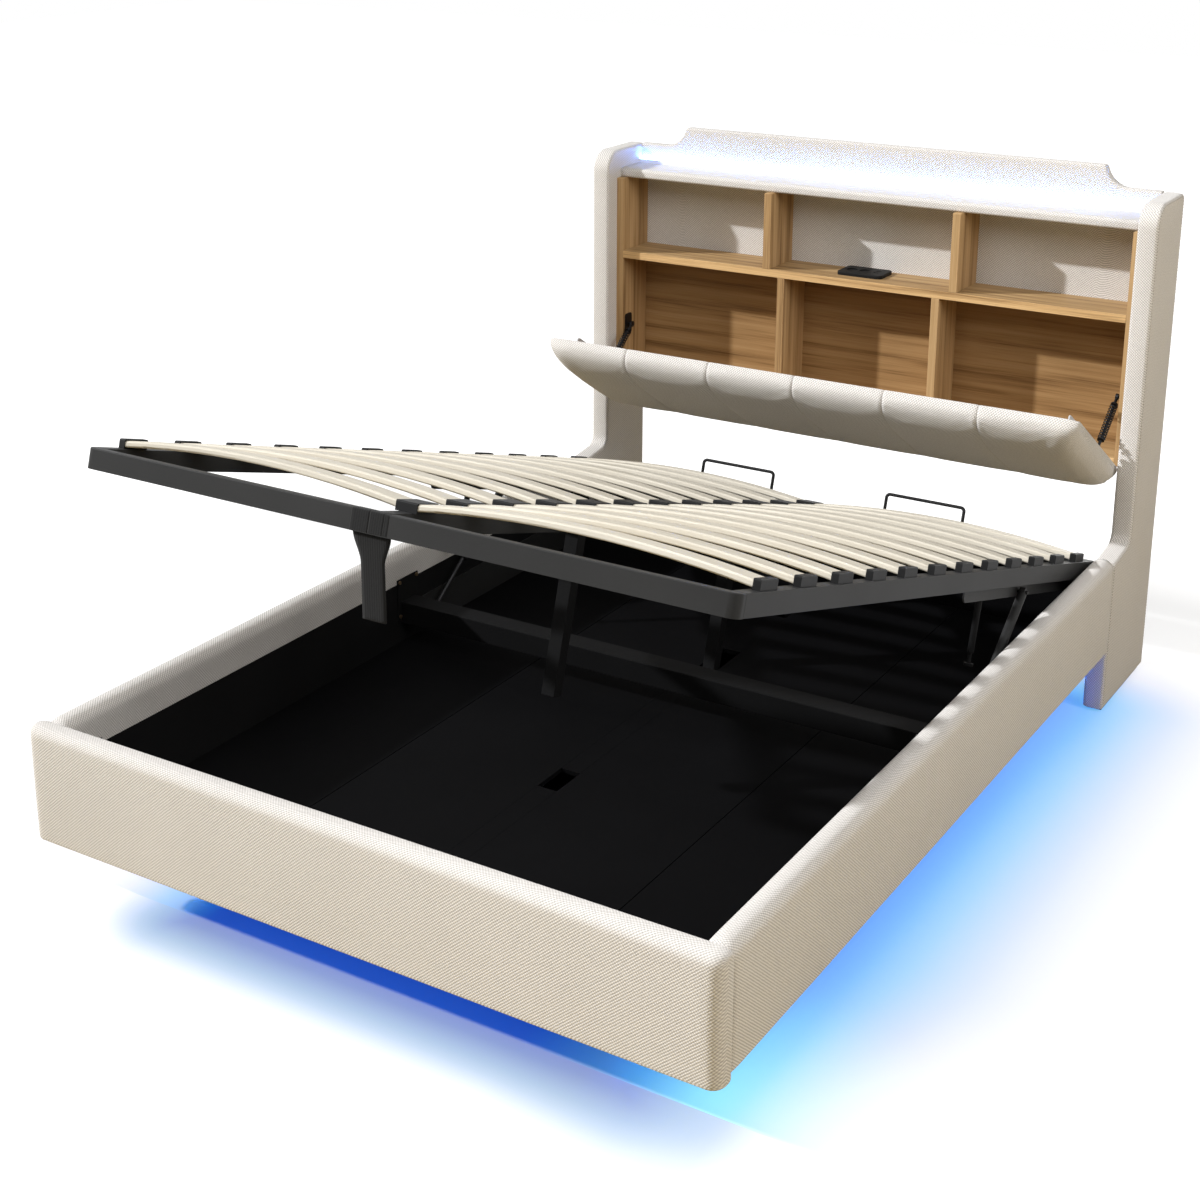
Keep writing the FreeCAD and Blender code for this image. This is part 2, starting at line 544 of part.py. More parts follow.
side_cap = cap_block(num("frame_half-cap_inset-cap_long"), num("cap_long"), outer_end).cut(pocket)
side_caps = repeat(side_cap) + repeat(side_cap.mirror(Vector(), flip))
solid("slat_caps_side", Part.makeCompound(side_caps), carrier="lift")
double = cap_block(-num("double_cap_long") / 2, num("double_cap_long"), outer_end)
double = double.cut(pocket).cut(pocket.mirror(Vector(), flip))
solid("slat_caps_center", Part.makeCompound(repeat(double)), carrier="lift")

# Square legs under the centre beam that reach the floor when the frame is down.
legs = []
for i, spot in enumerate(("leg_first", "leg_second", "leg_third")):
    tall = "pivot_height+tube_over_pivot-leg_floor_gap"
    legs.append(box("leg_%d" % i, ("leg_wide", "leg_wide", tall),
                    ("-leg_wide/2", "-%s-leg_wide/2" % spot, "tube_over_pivot-(%s)" % tall), "lift"))
compound("center_legs", legs)

# Hinge bars: angle sections on the inner faces of the side tubes, with the pivot eye and the strut stud.
bar_low = -num("bar_drop")
bar_top = num("tube_over_pivot+bar_rise")
bar_out = num(side_inner)
thick = num("bar_thick")
start, stop = -num("bar_long"), num("bar_tail")
strut_spot = Vector(0, -num("strut_pivot_at"), -num("strut_pivot_drop"))
stud_tip = num("frame_half-strut_gap")
across = Vector(1, 0, 0)
web = Part.makeBox(thick, stop - start, bar_top - bar_low, Vector(bar_out - thick, start, bar_low))
low_corners = [e for e in web.Edges if e.BoundBox.XLength > thick - 0.01 and e.BoundBox.ZMax < bar_low + 0.01]
web = web.makeFillet(num("bar_round"), low_corners)
flange = Part.makeBox(num("bar_flange"), stop - start, thick,
                      Vector(bar_out - num("bar_flange"), start, bar_top - thick))
eye_hole = Part.makeCylinder(num("pivot_stud/2+stud_clear"), 3 * thick, Vector(bar_out - 2 * thick, 0, 0), across)
stud = Part.makeCylinder(num("strut_pin/2"), stud_tip - bar_out, strut_spot + Vector(bar_out, 0, 0), across)
bar = web.fuse([flange, stud]).removeSplitter().cut(eye_hole)

# Side legs with a thin adjusting rod and a foot pad, turned about their own axis.
tube_r, rod_r, pad_r = num("side_leg_tube/2"), num("side_leg_rod/2"), num("side_leg_pad/2")
leg_top = bar_top - thick
leg_bottom = num(floor_top + "-pivot_height+side_leg_gap")
pad_top = leg_bottom + num("side_leg_pad_high")
rod_top = pad_top + num("side_leg_rod_long")
turned = [(0, leg_top), (tube_r, leg_top), (tube_r, rod_top), (rod_r, rod_top - num("side_leg_chamfer")),
          (rod_r, pad_top), (pad_r, pad_top), (pad_r, leg_bottom), (0, leg_bottom)]
wire = Part.makePolygon([Vector(r, 0, z) for r, z in turned + turned[:1]])
leg = Part.Face(wire).revolve(Vector(), Vector(0, 0, 1), 360)
leg = leg.translate(Vector(bar_out - num("side_leg_inset"), -num("side_leg_at"), 0))
solid("hinge_bar_left", bar.mirror(Vector(), flip), carrier="lift")
solid("hinge_bar_right", bar, carrier="lift")
solid("side_legs", Part.makeCompound([leg, leg.mirror(Vector(), flip)]), carrier="lift")

# Wire mattress stops: a bent loop standing on the head tube.
wire_r = num("stop_wire/2")
bend = num("stop_bend")
stop_half = num("stop_wide-stop_wire") / 2
stop_y = num("head_overrun-tube_wide/2")
stop_top = deck + num("stop_high") - wire_r
slope = bend * (1 - math.sqrt(0.5))
loops = []
for middle in (-num("stop_at"), num("stop_at")):
    left, right = middle - stop_half, middle + stop_half
    spine = [Part.LineSegment(Vector(left, stop_y, deck), Vector(left, stop_y, stop_top - bend)),
             Part.Arc(Vector(left, stop_y, stop_top - bend), Vector(left + slope, stop_y, stop_top - slope),
                      Vector(left + bend, stop_y, stop_top)),
             Part.LineSegment(Vector(left + bend, stop_y, stop_top), Vector(right - bend, stop_y, stop_top)),
             Part.Arc(Vector(right - bend, stop_y, stop_top), Vector(right - slope, stop_y, stop_top - slope),
                      Vector(right, stop_y, stop_top - bend)),
             Part.LineSegment(Vector(right, stop_y, stop_top - bend), Vector(right, stop_y, deck))]
    ring = Part.Wire(Part.makeCircle(wire_r, Vector(left, stop_y, deck), Vector(0, 0, 1)))
    loops.append(Part.Wire([s.toShape() for s in spine]).makePipeShell([ring], True, False))
solid("mattress_stops", Part.makeCompound(loops), carrier="lift")

# Webbing pull strap: wrapped round the foot tube and slit for the centre beam, its doubled tail plumb at rest.
strap_t, strap_g = num("strap_thick"), num("strap_gap")
tube_w, tube_h = num("tube_wide"), num("tube_high")
wrap_low = Vector(0, -num(frame_long) - strap_g - strap_t, num(tube_low) - strap_g - strap_t)
wrap = Part.makeBox(num("strap_wrap"), tube_w + 2 * (strap_g + strap_t), tube_h + 2 * (strap_g + strap_t),
                    wrap_low + Vector(num("strap_at-strap_wrap/2"), 0, 0))
wrap = wrap.makeFillet(num("strap_turn"), [e for e in wrap.Edges if e.BoundBox.XLength > strap_t])
room = Part.makeBox(num("strap_wrap"), tube_w + 2 * strap_g, tube_h + 2 * strap_g,
                    Vector(num("strap_at-strap_wrap/2"), -num(frame_long) - strap_g, num(tube_low) - strap_g))
drop = num("strap_drop")
wide, full = num("strap_wide") / 2, num("strap_wrap") / 2
taper = num("strap_taper")
tail_face = Part.makePolygon([Vector(-full, 0, 0), Vector(-wide, 0, -taper), Vector(-wide, 0, -drop),
                              Vector(wide, 0, -drop), Vector(wide, 0, -taper), Vector(full, 0, 0),
                              Vector(-full, 0, 0)])
tail = Part.Face(tail_face).extrude(Vector(0, 2 * strap_t, 0))
tail = tail.makeFillet(num("strap_edge"), [e for e in tail.Edges if e.BoundBox.ZMax < -drop + 0.01
                                       and e.BoundBox.XLength > wide])
plumb = Placement(Vector(), Rotation(Vector(1, 0, 0), num("lift_angle")))
tail.Placement = plumb
hang = Vector(num("strap_at"), -num(frame_long) + tube_w / 2 - strap_t, wrap_low.z + strap_t)
slit = Part.makeBox(num("beam_wide") + 2 * strap_g, tube_w, tube_h + 2 * strap_g,
                    Vector(-num("beam_wide/2") - strap_g, -num(frame_long) + tube_w, num(tube_low) - strap_g))
strap = wrap.fuse(tail.translate(hang)).cut([room, slit]).removeSplitter()
solid("pull_strap", strap, carrier="lift")

# Hinge plates on the rails: pivot stud at the head, slanted slot for the strut's foot.
plate_in = num(liner_inner + "-plate_thick")
base_y = num(lift_y + "-strut_base_at")
base_z = num("pivot_height-strut_base_drop")
axis_y, axis_z = num(lift_y), num("pivot_height")
low, nose = num("plate_low"), num("plate_nose")
high = low + num("plate_high")
back = base_y - num("plate_back")
shape = [(back, low), (axis_y + nose, low), (axis_y + nose, axis_z + nose), (axis_y - nose, axis_z + nose),
         (axis_y - num("plate_run"), high), (back, high)]
plate = Part.Face(Part.makePolygon([Vector(plate_in, y, z) for y, z in shape + shape[:1]]))
plate = plate.extrude(Vector(num("plate_thick"), 0, 0))
plate = plate.makeFillet(num("plate_round"), [e for e in plate.Edges if e.BoundBox.XLength > 1])
slot_r = num("strut_pin/2+slot_clear")
slot_half = num("slot_half")
slant = math.radians(num("slot_angle"))
reach_y, reach_z = slot_half * math.cos(slant), slot_half * math.sin(slant)
slot = Part.makeBox(2 * num("plate_thick"), 2 * slot_half, 2 * slot_r,
                    Vector(plate_in - num("plate_thick") / 2, -slot_half, -slot_r))
slot.Placement = Placement(Vector(0, base_y, base_z), Rotation(Vector(1, 0, 0), num("slot_angle"))).multiply(
    slot.Placement)
for way in (-1, 1):
    slot = slot.fuse(Part.makeCylinder(slot_r, 2 * num("plate_thick"),
                                       Vector(plate_in - num("plate_thick") / 2, base_y + way * reach_y,
                                              base_z + way * reach_z), across))
stud = Part.makeCylinder(num("pivot_stud/2"), plate_in - bar_out + 2 * thick,
                         Vector(bar_out - 2 * thick, axis_y, axis_z), across)
plate = plate.cut(slot).fuse(stud).removeSplitter()
solid("hinge_plate_left", plate.mirror(Vector(), flip))
solid("hinge_plate_right", plate)

# Gas struts, turned about local -Z from the upper eye: bored cylinder, rod with piston, eye and foot pin.
strut_mid = "(frame_half-tube_wide/2-strut_gap/2)"
strut_x = num(strut_mid)
long, tube_long, rod_long = num("strut_long"), num("strut_tube_long"), num("strut_rod_long")
eye_r, eye_w = num("strut_eye/2"), num("strut_eye_wide")
bore, rod_rad, pin_r = num("strut_bore/2"), num("strut_rod/2"), num("strut_pin/2")
clear = num("stud_clear")
wall_end = eye_r + num("strut_plug")
gland, neck = num("strut_gland"), num("strut_neck")
down = Vector(0, 0, -1)


def eye(at):
    return Part.makeCylinder(eye_r, eye_w, Vector(-eye_w / 2, 0, at), across)


casing = Part.makeCylinder(num("strut_tube/2"), tube_long - neck, Vector(0, 0, -neck), down)
casing = casing.fuse(eye(0)).removeSplitter()
casing = casing.cut(Part.makeCylinder(bore, tube_long - wall_end - gland, Vector(0, 0, -wall_end), down))
casing = casing.cut(Part.makeCylinder(rod_rad + clear, 3 * gland, Vector(0, 0, -tube_long + 2 * gland), down))
casing = casing.cut(Part.makeCylinder(pin_r + clear, 2 * eye_w, Vector(-eye_w, 0, 0), across))
ram = Part.makeCylinder(rod_rad, rod_long - neck, Vector(0, 0, -long + rod_long), down)
piston = Part.makeCylinder(bore - clear, gland, Vector(0, 0, -long + rod_long), down)
foot_pin = Part.makeCylinder(pin_r, num(liner_inner) - strut_x - num("floor_gap"), Vector(0, 0, -long), across)
ram = ram.fuse([piston, eye(-long), foot_pin]).removeSplitter()
for side, sign in (("left", -1), ("right", 1)):
    own = [casing, ram] if sign > 0 else [s.mirror(Vector(), flip) for s in (casing, ram)]
    at = (("" if sign > 0 else "-") + strut_mid, "0", "0")
    solid("strut_cylinder_" + side, own[0], at, "strut")
    solid("strut_rod_" + side, own[1], at, "strut")

# Flap, drawn closed with its hinge at the local origin: backing board and channelled pad.
face_y = "-flap_gap"
board_low = "hinge_drop+soft_clear"
node(box("flap_board", ("2*flap_board_half", "flap_board_thick", "flap_board_long"),
         ("-flap_board_half", face_y + "-flap_board_thick", board_low), "flap"))
pad_low, pad_high = num("hinge_drop+soft_clear"), num("flap_long")
inner_face = num(face_y)


# Upright section of the pad: flat towards the board, rounded towards the room, softer where it is thin.
def pad_section(x, depth, tuck):
    front = inner_face - depth
    low, high = pad_low + tuck / 2, pad_high - tuck
    share = depth / num("flap_thick")
    nose, lip = num("flap_nose") * share, num("flap_lip") * share
    turn, small = nose * (1 - math.sqrt(0.5)), lip * (1 - math.sqrt(0.5))
    p = [Vector(x, y, z) for y, z in (
        (inner_face, low), (inner_face, high - lip), (inner_face - small, high - small), (inner_face - lip, high),
        (front + nose, high), (front + turn, high - turn), (front, high - nose),
        (front, low + nose), (front + turn, low + turn), (front + nose, low))]
    edges = [Part.LineSegment(p[0], p[1]), Part.Arc(p[1], p[2], p[3]), Part.LineSegment(p[3], p[4]),
             Part.Arc(p[4], p[5], p[6]), Part.LineSegment(p[6], p[7]), Part.Arc(p[7], p[8], p[9]),
             Part.LineSegment(p[9], p[0])]
    return Part.Wire([e.toShape() for e in edges])


# Sections from a seam or an end up to the full crown of a channel, along a quarter of an ellipse.
def swell(kind):
    thick, tuck, run = num("flap_%s_thick" % kind), num("%s_tuck" % kind), num("%s_run" % kind)
    steps = []
    for share in (0, 0.1, 0.4, 1):
        rise = math.sqrt(1 - (1 - share) ** 2)
        steps.append((run * share, thick + (num("flap_thick") - thick) * rise, tuck * (1 - rise)))
    return steps


channels = int(num("channel_count"))
flap_half = num("flap_half")
channel = 2 * flap_half / channels
pad = None
for i in range(channels):
    x = -flap_half + channel * i
    near = [(x + a, t, g) for a, t, g in swell("end" if i == 0 else "seam")]
    far = [(x + channel - a, t, g) for a, t, g in reversed(swell("end" if i == channels - 1 else "seam"))]
    bulge = Part.makeLoft([pad_section(*spot) for spot in near + far], True, False)
    pad = bulge if pad is None else pad.fuse(bulge)
clear = num("soft_clear")
recess = Part.makeBox(num("2*flap_board_half") + 2 * clear, 2 * num("flap_board_thick"),
                      num("flap_board_long") + num(board_low) + clear,
                      Vector(-num("flap_board_half") - clear,
                             inner_face - num("flap_board_thick") - clear, 0))
solid("flap_pad", pad.cut(recess), carrier="flap")

# Butt hinges under the cabinet bottom and the flap board: split knuckles on one pin.
knuckle, pin = num("butt_knuckle/2"), num("butt_pin/2")
leaf, drop = num("butt_leaf"), num("hinge_drop")
long = num("butt_long")
third = long / 3
gap = num("soft_clear")
fixed, moving = [], []
for middle in (-num("butt_at"), 0, num("butt_at")):
    start = middle - long / 2
    plate = Part.makeBox(long, num("butt_reach"), leaf, Vector(start, 0, drop - leaf))
    notch = Part.makeBox(third + 2 * gap, knuckle + gap, 2 * leaf, Vector(start + third - gap, 0, drop - leaf))
    plate = plate.cut(notch)
    pieces = [Part.makeCylinder(knuckle, third, Vector(start + shift, 0, 0), across) for shift in (0, 2 * third)]
    pieces.append(Part.makeCylinder(pin, long, Vector(start, 0, 0), across))
    fixed.append(plate.fuse(pieces).removeSplitter())
    barrel = Part.makeCylinder(knuckle, third - 2 * gap, Vector(start + third + gap, 0, 0), across)
    reach = num("flap_gap+flap_board_thick")
    wing_leaf = Part.makeBox(third - 2 * gap, reach, leaf, Vector(start + third + gap, -reach, drop - leaf))
    moving.append(barrel.fuse(wing_leaf).removeSplitter().cut(
        Part.makeCylinder(pin + gap, long, Vector(start, 0, 0), across)))
solid("flap_hinge_fixed", Part.makeCompound(fixed), ("0", cabinet_front, flap_z))
solid("flap_hinge_moving", Part.makeCompound(moving), carrier="flap")

# Spring stays of the flap: slotted tracks on the board, brackets in the cabinet, arms with coil springs.
stay_mid = "(%s-stay_inset)" % oak_inner
stay_x = num(stay_mid)
slot_w = num("stay_slot")
track_in = stay_x - num("stay_eye_wide/2") - num("track_gap") - num("track_plate")
low, high = num("track_low"), num("track_high")
track_y = num(face_y)
fin = Part.makeBox(num("track_plate"), num("track_tall") - track_y, high - low, Vector(track_in, track_y, low))
proud = [e for e in fin.Edges if e.BoundBox.XLength > 1 and e.BoundBox.YMin > track_y + 1]
fin = fin.makeFillet(num("track_round"), proud)
base = Part.makeBox(num("track_flange"), num("track_base"), high - low,
                    Vector(track_in + num("track_plate-track_flange"), track_y, low))
way_r = num("stay_pin/2+track_clear")
way_in = track_in - num("track_plate")
way_long = 3 * num("track_plate")
run = [num("track_start"), num("track_end")]
way = Part.makeBox(way_long, 2 * way_r, run[1] - run[0], Vector(way_in, slot_w - way_r, run[0]))
for end in run:
    way = way.fuse(Part.makeCylinder(way_r, way_long, Vector(way_in, slot_w, end), across))
track = fin.fuse(base).removeSplitter().cut(way)
solid("stay_tracks", Part.makeCompound([track, track.mirror(Vector(), flip)]), carrier="flap")

pin_r, rod_r = num("stay_pin/2"), num("stay_rod/2")
wall_x = num(oak_inner)
plate_t, plate_w, plate_h = num("stay_plate"), num("stay_plate_wide"), num("stay_plate_high")
anchor = Part.makeBox(plate_t, plate_w, plate_h, Vector(wall_x - plate_t, -plate_w / 2, -plate_h / 2))
anchor = anchor.makeFillet(plate_w / 4, [e for e in anchor.Edges if e.BoundBox.XLength > 1])
stud_long = wall_x - stay_x + num("stay_eye_wide/2")
anchor = anchor.fuse(Part.makeCylinder(pin_r, stud_long, Vector(wall_x - stud_long, 0, 0), across)).removeSplitter()
solid("stay_brackets", Part.makeCompound([anchor, anchor.mirror(Vector(), flip)]),
      ("0", cabinet_front + "+stay_pin_y", flap_z + "+stay_pin_z"))
arm_long = num("stay_long")
eye_r, eye_w = num("stay_eye/2"), num("stay_eye_wide")
ring_top, ring_low = num("spring_start"), num("spring_start+spring_long")
arm = Part.makeCylinder(rod_r, arm_long, Vector(), down)
arm = arm.fuse([Part.makeCylinder(eye_r, eye_w, Vector(-eye_w / 2, 0, 0), across),
                Part.makeCylinder(num("stay_tip/2"), eye_w, Vector(-eye_w / 2, 0, -arm_long), across),
                Part.makeCylinder(pin_r, eye_w / 2 + num("track_gap+track_plate+stay_pin_over"),
                                  Vector(0, 0, -arm_long), Vector(-1, 0, 0)),
                Part.makeCylinder(num("stay_collar/2"), num("stay_collar_long"),
                                  Vector(0, 0, -ring_top), Vector(0, 0, 1)),
                Part.makeCylinder(num("stay_collar/2"), num("stay_collar_long"), Vector(0, 0, -ring_low), down)])
arm = arm.removeSplitter().cut(Part.makeCylinder(pin_r + clear, 2 * eye_w, Vector(-eye_w, 0, 0), across))

# Coil spring: one unbroken wire on half-turn biarcs of a helix, straight for one wire at both ends.
turns = int(num("spring_turns"))
coil_r, wire_d = num("spring_radius"), num("spring_wire")
coil_top = -ring_top - clear - wire_d / 2
coil_low = -ring_low + clear + wire_d / 2
lead = (coil_low - coil_top) / turns


def helix(angle):
    return Vector(coil_r * math.cos(angle), coil_r * math.sin(angle), coil_top + lead * angle / (2 * math.pi))


def heading(angle):
    tangent = Vector(-coil_r * math.sin(angle), coil_r * math.cos(angle), lead / (2 * math.pi))
    return tangent.normalize()


def bent(start, knee, stop):
    middle = (start + stop) * 0.5
    lean = knee - middle
    chord = (stop - start).Length / 2
    tilt = math.atan2(lean.Length, chord)
    return Part.Arc(start, middle + lean.normalize() * (chord * math.tan(tilt / 2)), stop).toShape()


coil = [Part.LineSegment(helix(0) - heading(0) * wire_d, helix(0)).toShape()]
for i in range(2 * turns):
    a, b = math.pi * i, math.pi * (i + 1)
    start, stop, one, two = helix(a), helix(b), heading(a), heading(b)
    both = one + two
    span = stop - start
    p, q, r = both.dot(both) - 4, -2 * span.dot(both), span.dot(span)
    reach = (-q - math.sqrt(q * q - 4 * p * r)) / (2 * p)
    knee_one, knee_two = start + one * reach, stop - two * reach
    joint = (knee_one + knee_two) * 0.5
    coil.append(bent(start, knee_one, joint))
    coil.append(bent(joint, knee_two, stop))
last = 2 * math.pi * turns
coil.append(Part.LineSegment(helix(last), helix(last) + heading(last) * wire_d).toShape())
spine = Part.Wire(coil)
ring = Part.Wire(Part.makeCircle(wire_d / 2, helix(0) - heading(0) * wire_d, heading(0)))
spring = spine.makePipeShell([ring], True, False)
samples = [helix(math.pi * i / 18) for i in range(36 * turns + 1)]
least = min((samples[i] - samples[j]).Length for i in range(0, 36) for j in range(i + 18, len(samples)))
print("stay_spring least gap to itself %.2f mm" % (least - wire_d))
for side, sign in (("left", -1), ("right", 1)):
    own = arm if sign > 0 else arm.mirror(Vector(), flip)
    at = (("" if sign > 0 else "-") + stay_mid, "0", "0")
    solid("stay_arm_" + side, own, at, "stay")
    solid("stay_spring_" + side, spring, at, "stay")

doc.recompute()
for obj in doc.Objects:
    if "Invalid" in obj.State or "Error" in obj.State:
        raise RuntimeError("%s: %s" % (obj.Label, obj.State))
for obj in nodes:
    if obj.Shape.isNull() or not obj.Shape.isValid():
        raise RuntimeError("%s has no valid shape" % obj.Label)
    obj.Shape.exportStep("parts/%s.step" % obj.Label)
print(len(nodes), "nodes written")
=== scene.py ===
import json
import math
import bmesh
import bpy
from mathutils import Matrix, Vector, noise
from mathutils.kdtree import KDTree


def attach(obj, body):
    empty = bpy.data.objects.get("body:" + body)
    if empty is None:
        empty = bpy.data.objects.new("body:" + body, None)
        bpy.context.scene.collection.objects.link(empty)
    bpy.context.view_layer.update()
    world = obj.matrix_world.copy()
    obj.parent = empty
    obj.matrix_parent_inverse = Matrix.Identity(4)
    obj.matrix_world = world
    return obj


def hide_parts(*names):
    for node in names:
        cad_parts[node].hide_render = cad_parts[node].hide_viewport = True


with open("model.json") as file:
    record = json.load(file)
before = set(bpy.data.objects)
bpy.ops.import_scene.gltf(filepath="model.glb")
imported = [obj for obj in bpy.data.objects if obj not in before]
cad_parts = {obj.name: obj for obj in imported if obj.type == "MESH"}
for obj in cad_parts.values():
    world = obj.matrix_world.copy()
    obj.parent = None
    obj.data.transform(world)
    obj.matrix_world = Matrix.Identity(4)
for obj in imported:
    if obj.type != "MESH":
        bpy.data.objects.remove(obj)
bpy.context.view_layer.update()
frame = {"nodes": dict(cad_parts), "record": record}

nodes = frame["nodes"]
scene = bpy.context.scene
print("frame loaded,", len(nodes), "nodes")


# materials

def addNode(tree, kind, **values):
    node = tree.nodes.new("ShaderNode" + kind)
    for key, value in values.items():
        if key in node.inputs:
            node.inputs[key].default_value = value
        else:
            setattr(node, key, value)
    return node


def newMaterial(name, colour, roughness, **sockets):
    material = bpy.data.materials.new(name)
    material.use_nodes = True
    tree = material.node_tree
    shader = tree.nodes["Principled BSDF"]
    shader.inputs["Base Color"].default_value = (*colour, 1)
    shader.inputs["Roughness"].default_value = roughness
    for key, value in sockets.items():
        shader.inputs[key.replace("_", " ")].default_value = value
    return material, tree, shader


def mathNode(tree, operation, first, second=None):
    node = addNode(tree, "Math", operation=operation)
    for socket, value in zip(node.inputs, (first, second)):
        if value is None:
            continue
        if isinstance(value, (int, float)):
            socket.default_value = value
        else:
            tree.links.new(value, socket)
    return node.outputs[0]


def weighted(tree, shares, plus=0.0):  # sum of values, each times its share
    total = plus
    for value, share in shares:
        total = mathNode(tree, "ADD", mathNode(tree, "MULTIPLY", value, share), total)
    return total


def ranged(tree, value, start, stop, low=0.0, high=1.0, way="LINEAR"):
    node = addNode(tree, "MapRange", interpolation_type=way)
    for socket, number in (("From Min", start), ("From Max", stop), ("To Min", low), ("To Max", high)):
        node.inputs[socket].default_value = number
    tree.links.new(value, node.inputs["Value"])
    return node.outputs["Result"]


def mixed(tree, factor, first, second):
    node = addNode(tree, "Mix", data_type="RGBA")
    node.inputs["A"].default_value = (*first, 1)
    node.inputs["B"].default_value = (*second, 1)
    tree.links.new(factor, node.inputs["Factor"])
    return node.outputs["Result"]


def split(tree, vector):
    node = addNode(tree, "SeparateXYZ")
    tree.links.new(vector, node.inputs[0])
    return node.outputs


def ramp(tree, factor, stops):
    node = addNode(tree, "ValToRGB")
    while len(node.color_ramp.elements) < len(stops):
        node.color_ramp.elements.new(0.5)
    for element, (place, colour) in zip(node.color_ramp.elements, stops):
        element.position = place
        element.color = (*colour, 1)
    tree.links.new(factor, node.inputs[0])
    return node.outputs[0]


def bump(tree, shader, height, strength, distance):
    node = addNode(tree, "Bump", Strength=strength, Distance=distance)
    tree.links.new(height, node.inputs["Height"])
    tree.links.new(node.outputs[0], shader.inputs["Normal"])


def noiseOf(tree, vector, scale, detail=3, roughness=0.55):
    node = addNode(tree, "TexNoise", Scale=scale, Detail=detail, Roughness=roughness)
    tree.links.new(vector, node.inputs["Vector"])
    return node.outputs["Fac"]


def onObject(tree, scale=(1, 1, 1)):
    mapping = addNode(tree, "Mapping", Scale=scale)
    tree.links.new(addNode(tree, "TexCoord").outputs["Object"], mapping.inputs["Vector"])
    return mapping.outputs[0]


def lengthwise(axis, along, across):  # texture scale of a grain that runs along one axis
    scale = [across] * 3
    scale[axis] = along
    return scale


def facing(tree):
    return split(tree, addNode(tree, "TexCoord").outputs["Normal"])


linen = {"rib": 0.0045, "yarn": 0.0047, "ribLean": 49, "yarnLean": -38, "wander": 1.8, "driftScale": 90,
         "slubScale": 260, "patchScale": 5, "weaveShares": (0.50, 0.32, 0.18),
         "toneShares": (0.80, 0.24, 0.08), "dark": (0.34, 0.322, 0.302), "middle": (0.62, 0.592, 0.566),
         "light": (0.80, 0.772, 0.748), "bump": 0.45, "bumpDepth": 0.0012}


def linenTwill(name):
    material, tree, shader = newMaterial(name, linen["light"], 0.92, Sheen_Weight=0.25, Sheen_Roughness=0.5,
                                         Specular_IOR_Level=0.2)
    across, along, _ = split(tree, addNode(tree, "UVMap", uv_map="cloth").outputs[0])
    drift = noiseOf(tree, onObject(tree), linen["driftScale"], 2)  # yarns are never quite straight

    def wave(lean, pitch):
        lean, pace = math.radians(lean), 2 * math.pi / pitch
        phase = weighted(tree, [(across, math.cos(lean) * pace), (along, math.sin(lean) * pace),
                                (drift, linen["wander"])])
        return weighted(tree, [(mathNode(tree, "SINE", phase), 0.5)], 0.5)
    rib = wave(linen["ribLean"], linen["rib"])
    yarn = wave(linen["yarnLean"], linen["yarn"])
    crossing = mathNode(tree, "MULTIPLY", rib, yarn)
    height = weighted(tree, zip((rib, crossing, yarn), linen["weaveShares"]))
    slub = noiseOf(tree, onObject(tree), linen["slubScale"], 2)
    patch = noiseOf(tree, onObject(tree), linen["patchScale"], 2)
    tone = weighted(tree, zip((height, slub, patch), linen["toneShares"]))
    shades = [(0.14, linen["dark"]), (0.5, linen["middle"]), (0.9, linen["light"])]
    tree.links.new(ramp(tree, tone, shades), shader.inputs["Base Color"])
    bump(tree, shader, weighted(tree, [(slub, 0.5)], height), linen["bump"], linen["bumpDepth"])
    return material


oak = {"tones": [(0.36, (0.20, 0.120, 0.054)), (0.47, (0.36, 0.230, 0.110)), (0.56, (0.43, 0.286, 0.142)),
                 (0.68, (0.50, 0.345, 0.182))],
       "along": 2.0, "across": 80, "poreAlong": 8.0, "poreAcross": 720, "figure": 5, "figureWander": 11,
       "figureSqueeze": 0.12, "shares": (0.58, 0.12, 0.34), "frontFacing": -0.9}


def oakGrain(name, axis, shade, frontPaler):
    material, tree, shader = newMaterial(name, (0.45, 0.28, 0.14), 0.52, Specular_IOR_Level=0.12)
    broad = noiseOf(tree, onObject(tree, lengthwise(axis, oak["along"], oak["across"])), 1.0, 6, 0.62)
    pores = noiseOf(tree, onObject(tree, lengthwise(axis, oak["poreAlong"], oak["poreAcross"])), 1.0)
    figure = addNode(tree, "TexWave", wave_type="BANDS", bands_direction="Z" if axis == 0 else "Y",
                     Scale=oak["figure"], Distortion=oak["figureWander"], Detail=4)
    tree.links.new(onObject(tree, lengthwise(axis, oak["figureSqueeze"], 1.0)), figure.inputs["Vector"])
    tone = weighted(tree, zip((broad, figure.outputs["Fac"], pores), oak["shares"]))
    board = ramp(tree, tone, [(at, [s * c for s, c in zip(shade, colour)]) for at, colour in oak["tones"]])
    if frontPaler:  # faces turned to the front (-y) are made paler
        edge = mathNode(tree, "LESS_THAN", facing(tree)[1], oak["frontFacing"])
        paler = addNode(tree, "VectorMath", operation="SCALE")
        tree.links.new(board, paler.inputs[0])
        tree.links.new(weighted(tree, [(edge, frontPaler)], 1.0), paler.inputs["Scale"])
        board = paler.outputs[0]
    tree.links.new(board, shader.inputs["Base Color"])
    tree.links.new(weighted(tree, [(pores, 0.25)], 0.4), shader.inputs["Roughness"])
    bump(tree, shader, pores, 0.15, 0.0006)
    return material


def speckled(name, dark, light, scale, roughness, strength, **sockets):
    material, tree, shader = newMaterial(name, light, roughness, **sockets)
    coords = onObject(tree)
    fine = noiseOf(tree, coords, scale, 2)
    broad = noiseOf(tree, coords, 4)
    tone = weighted(tree, [(fine, 0.6), (broad, 0.4)])
    tree.links.new(ramp(tree, tone, [(0.3, dark), (0.7, light)]), shader.inputs["Base Color"])
    tree.links.new(weighted(tree, [(broad, 0.16)], roughness - 0.08), shader.inputs["Roughness"])
    bump(tree, shader, fine, strength, 0.0005)
    return material


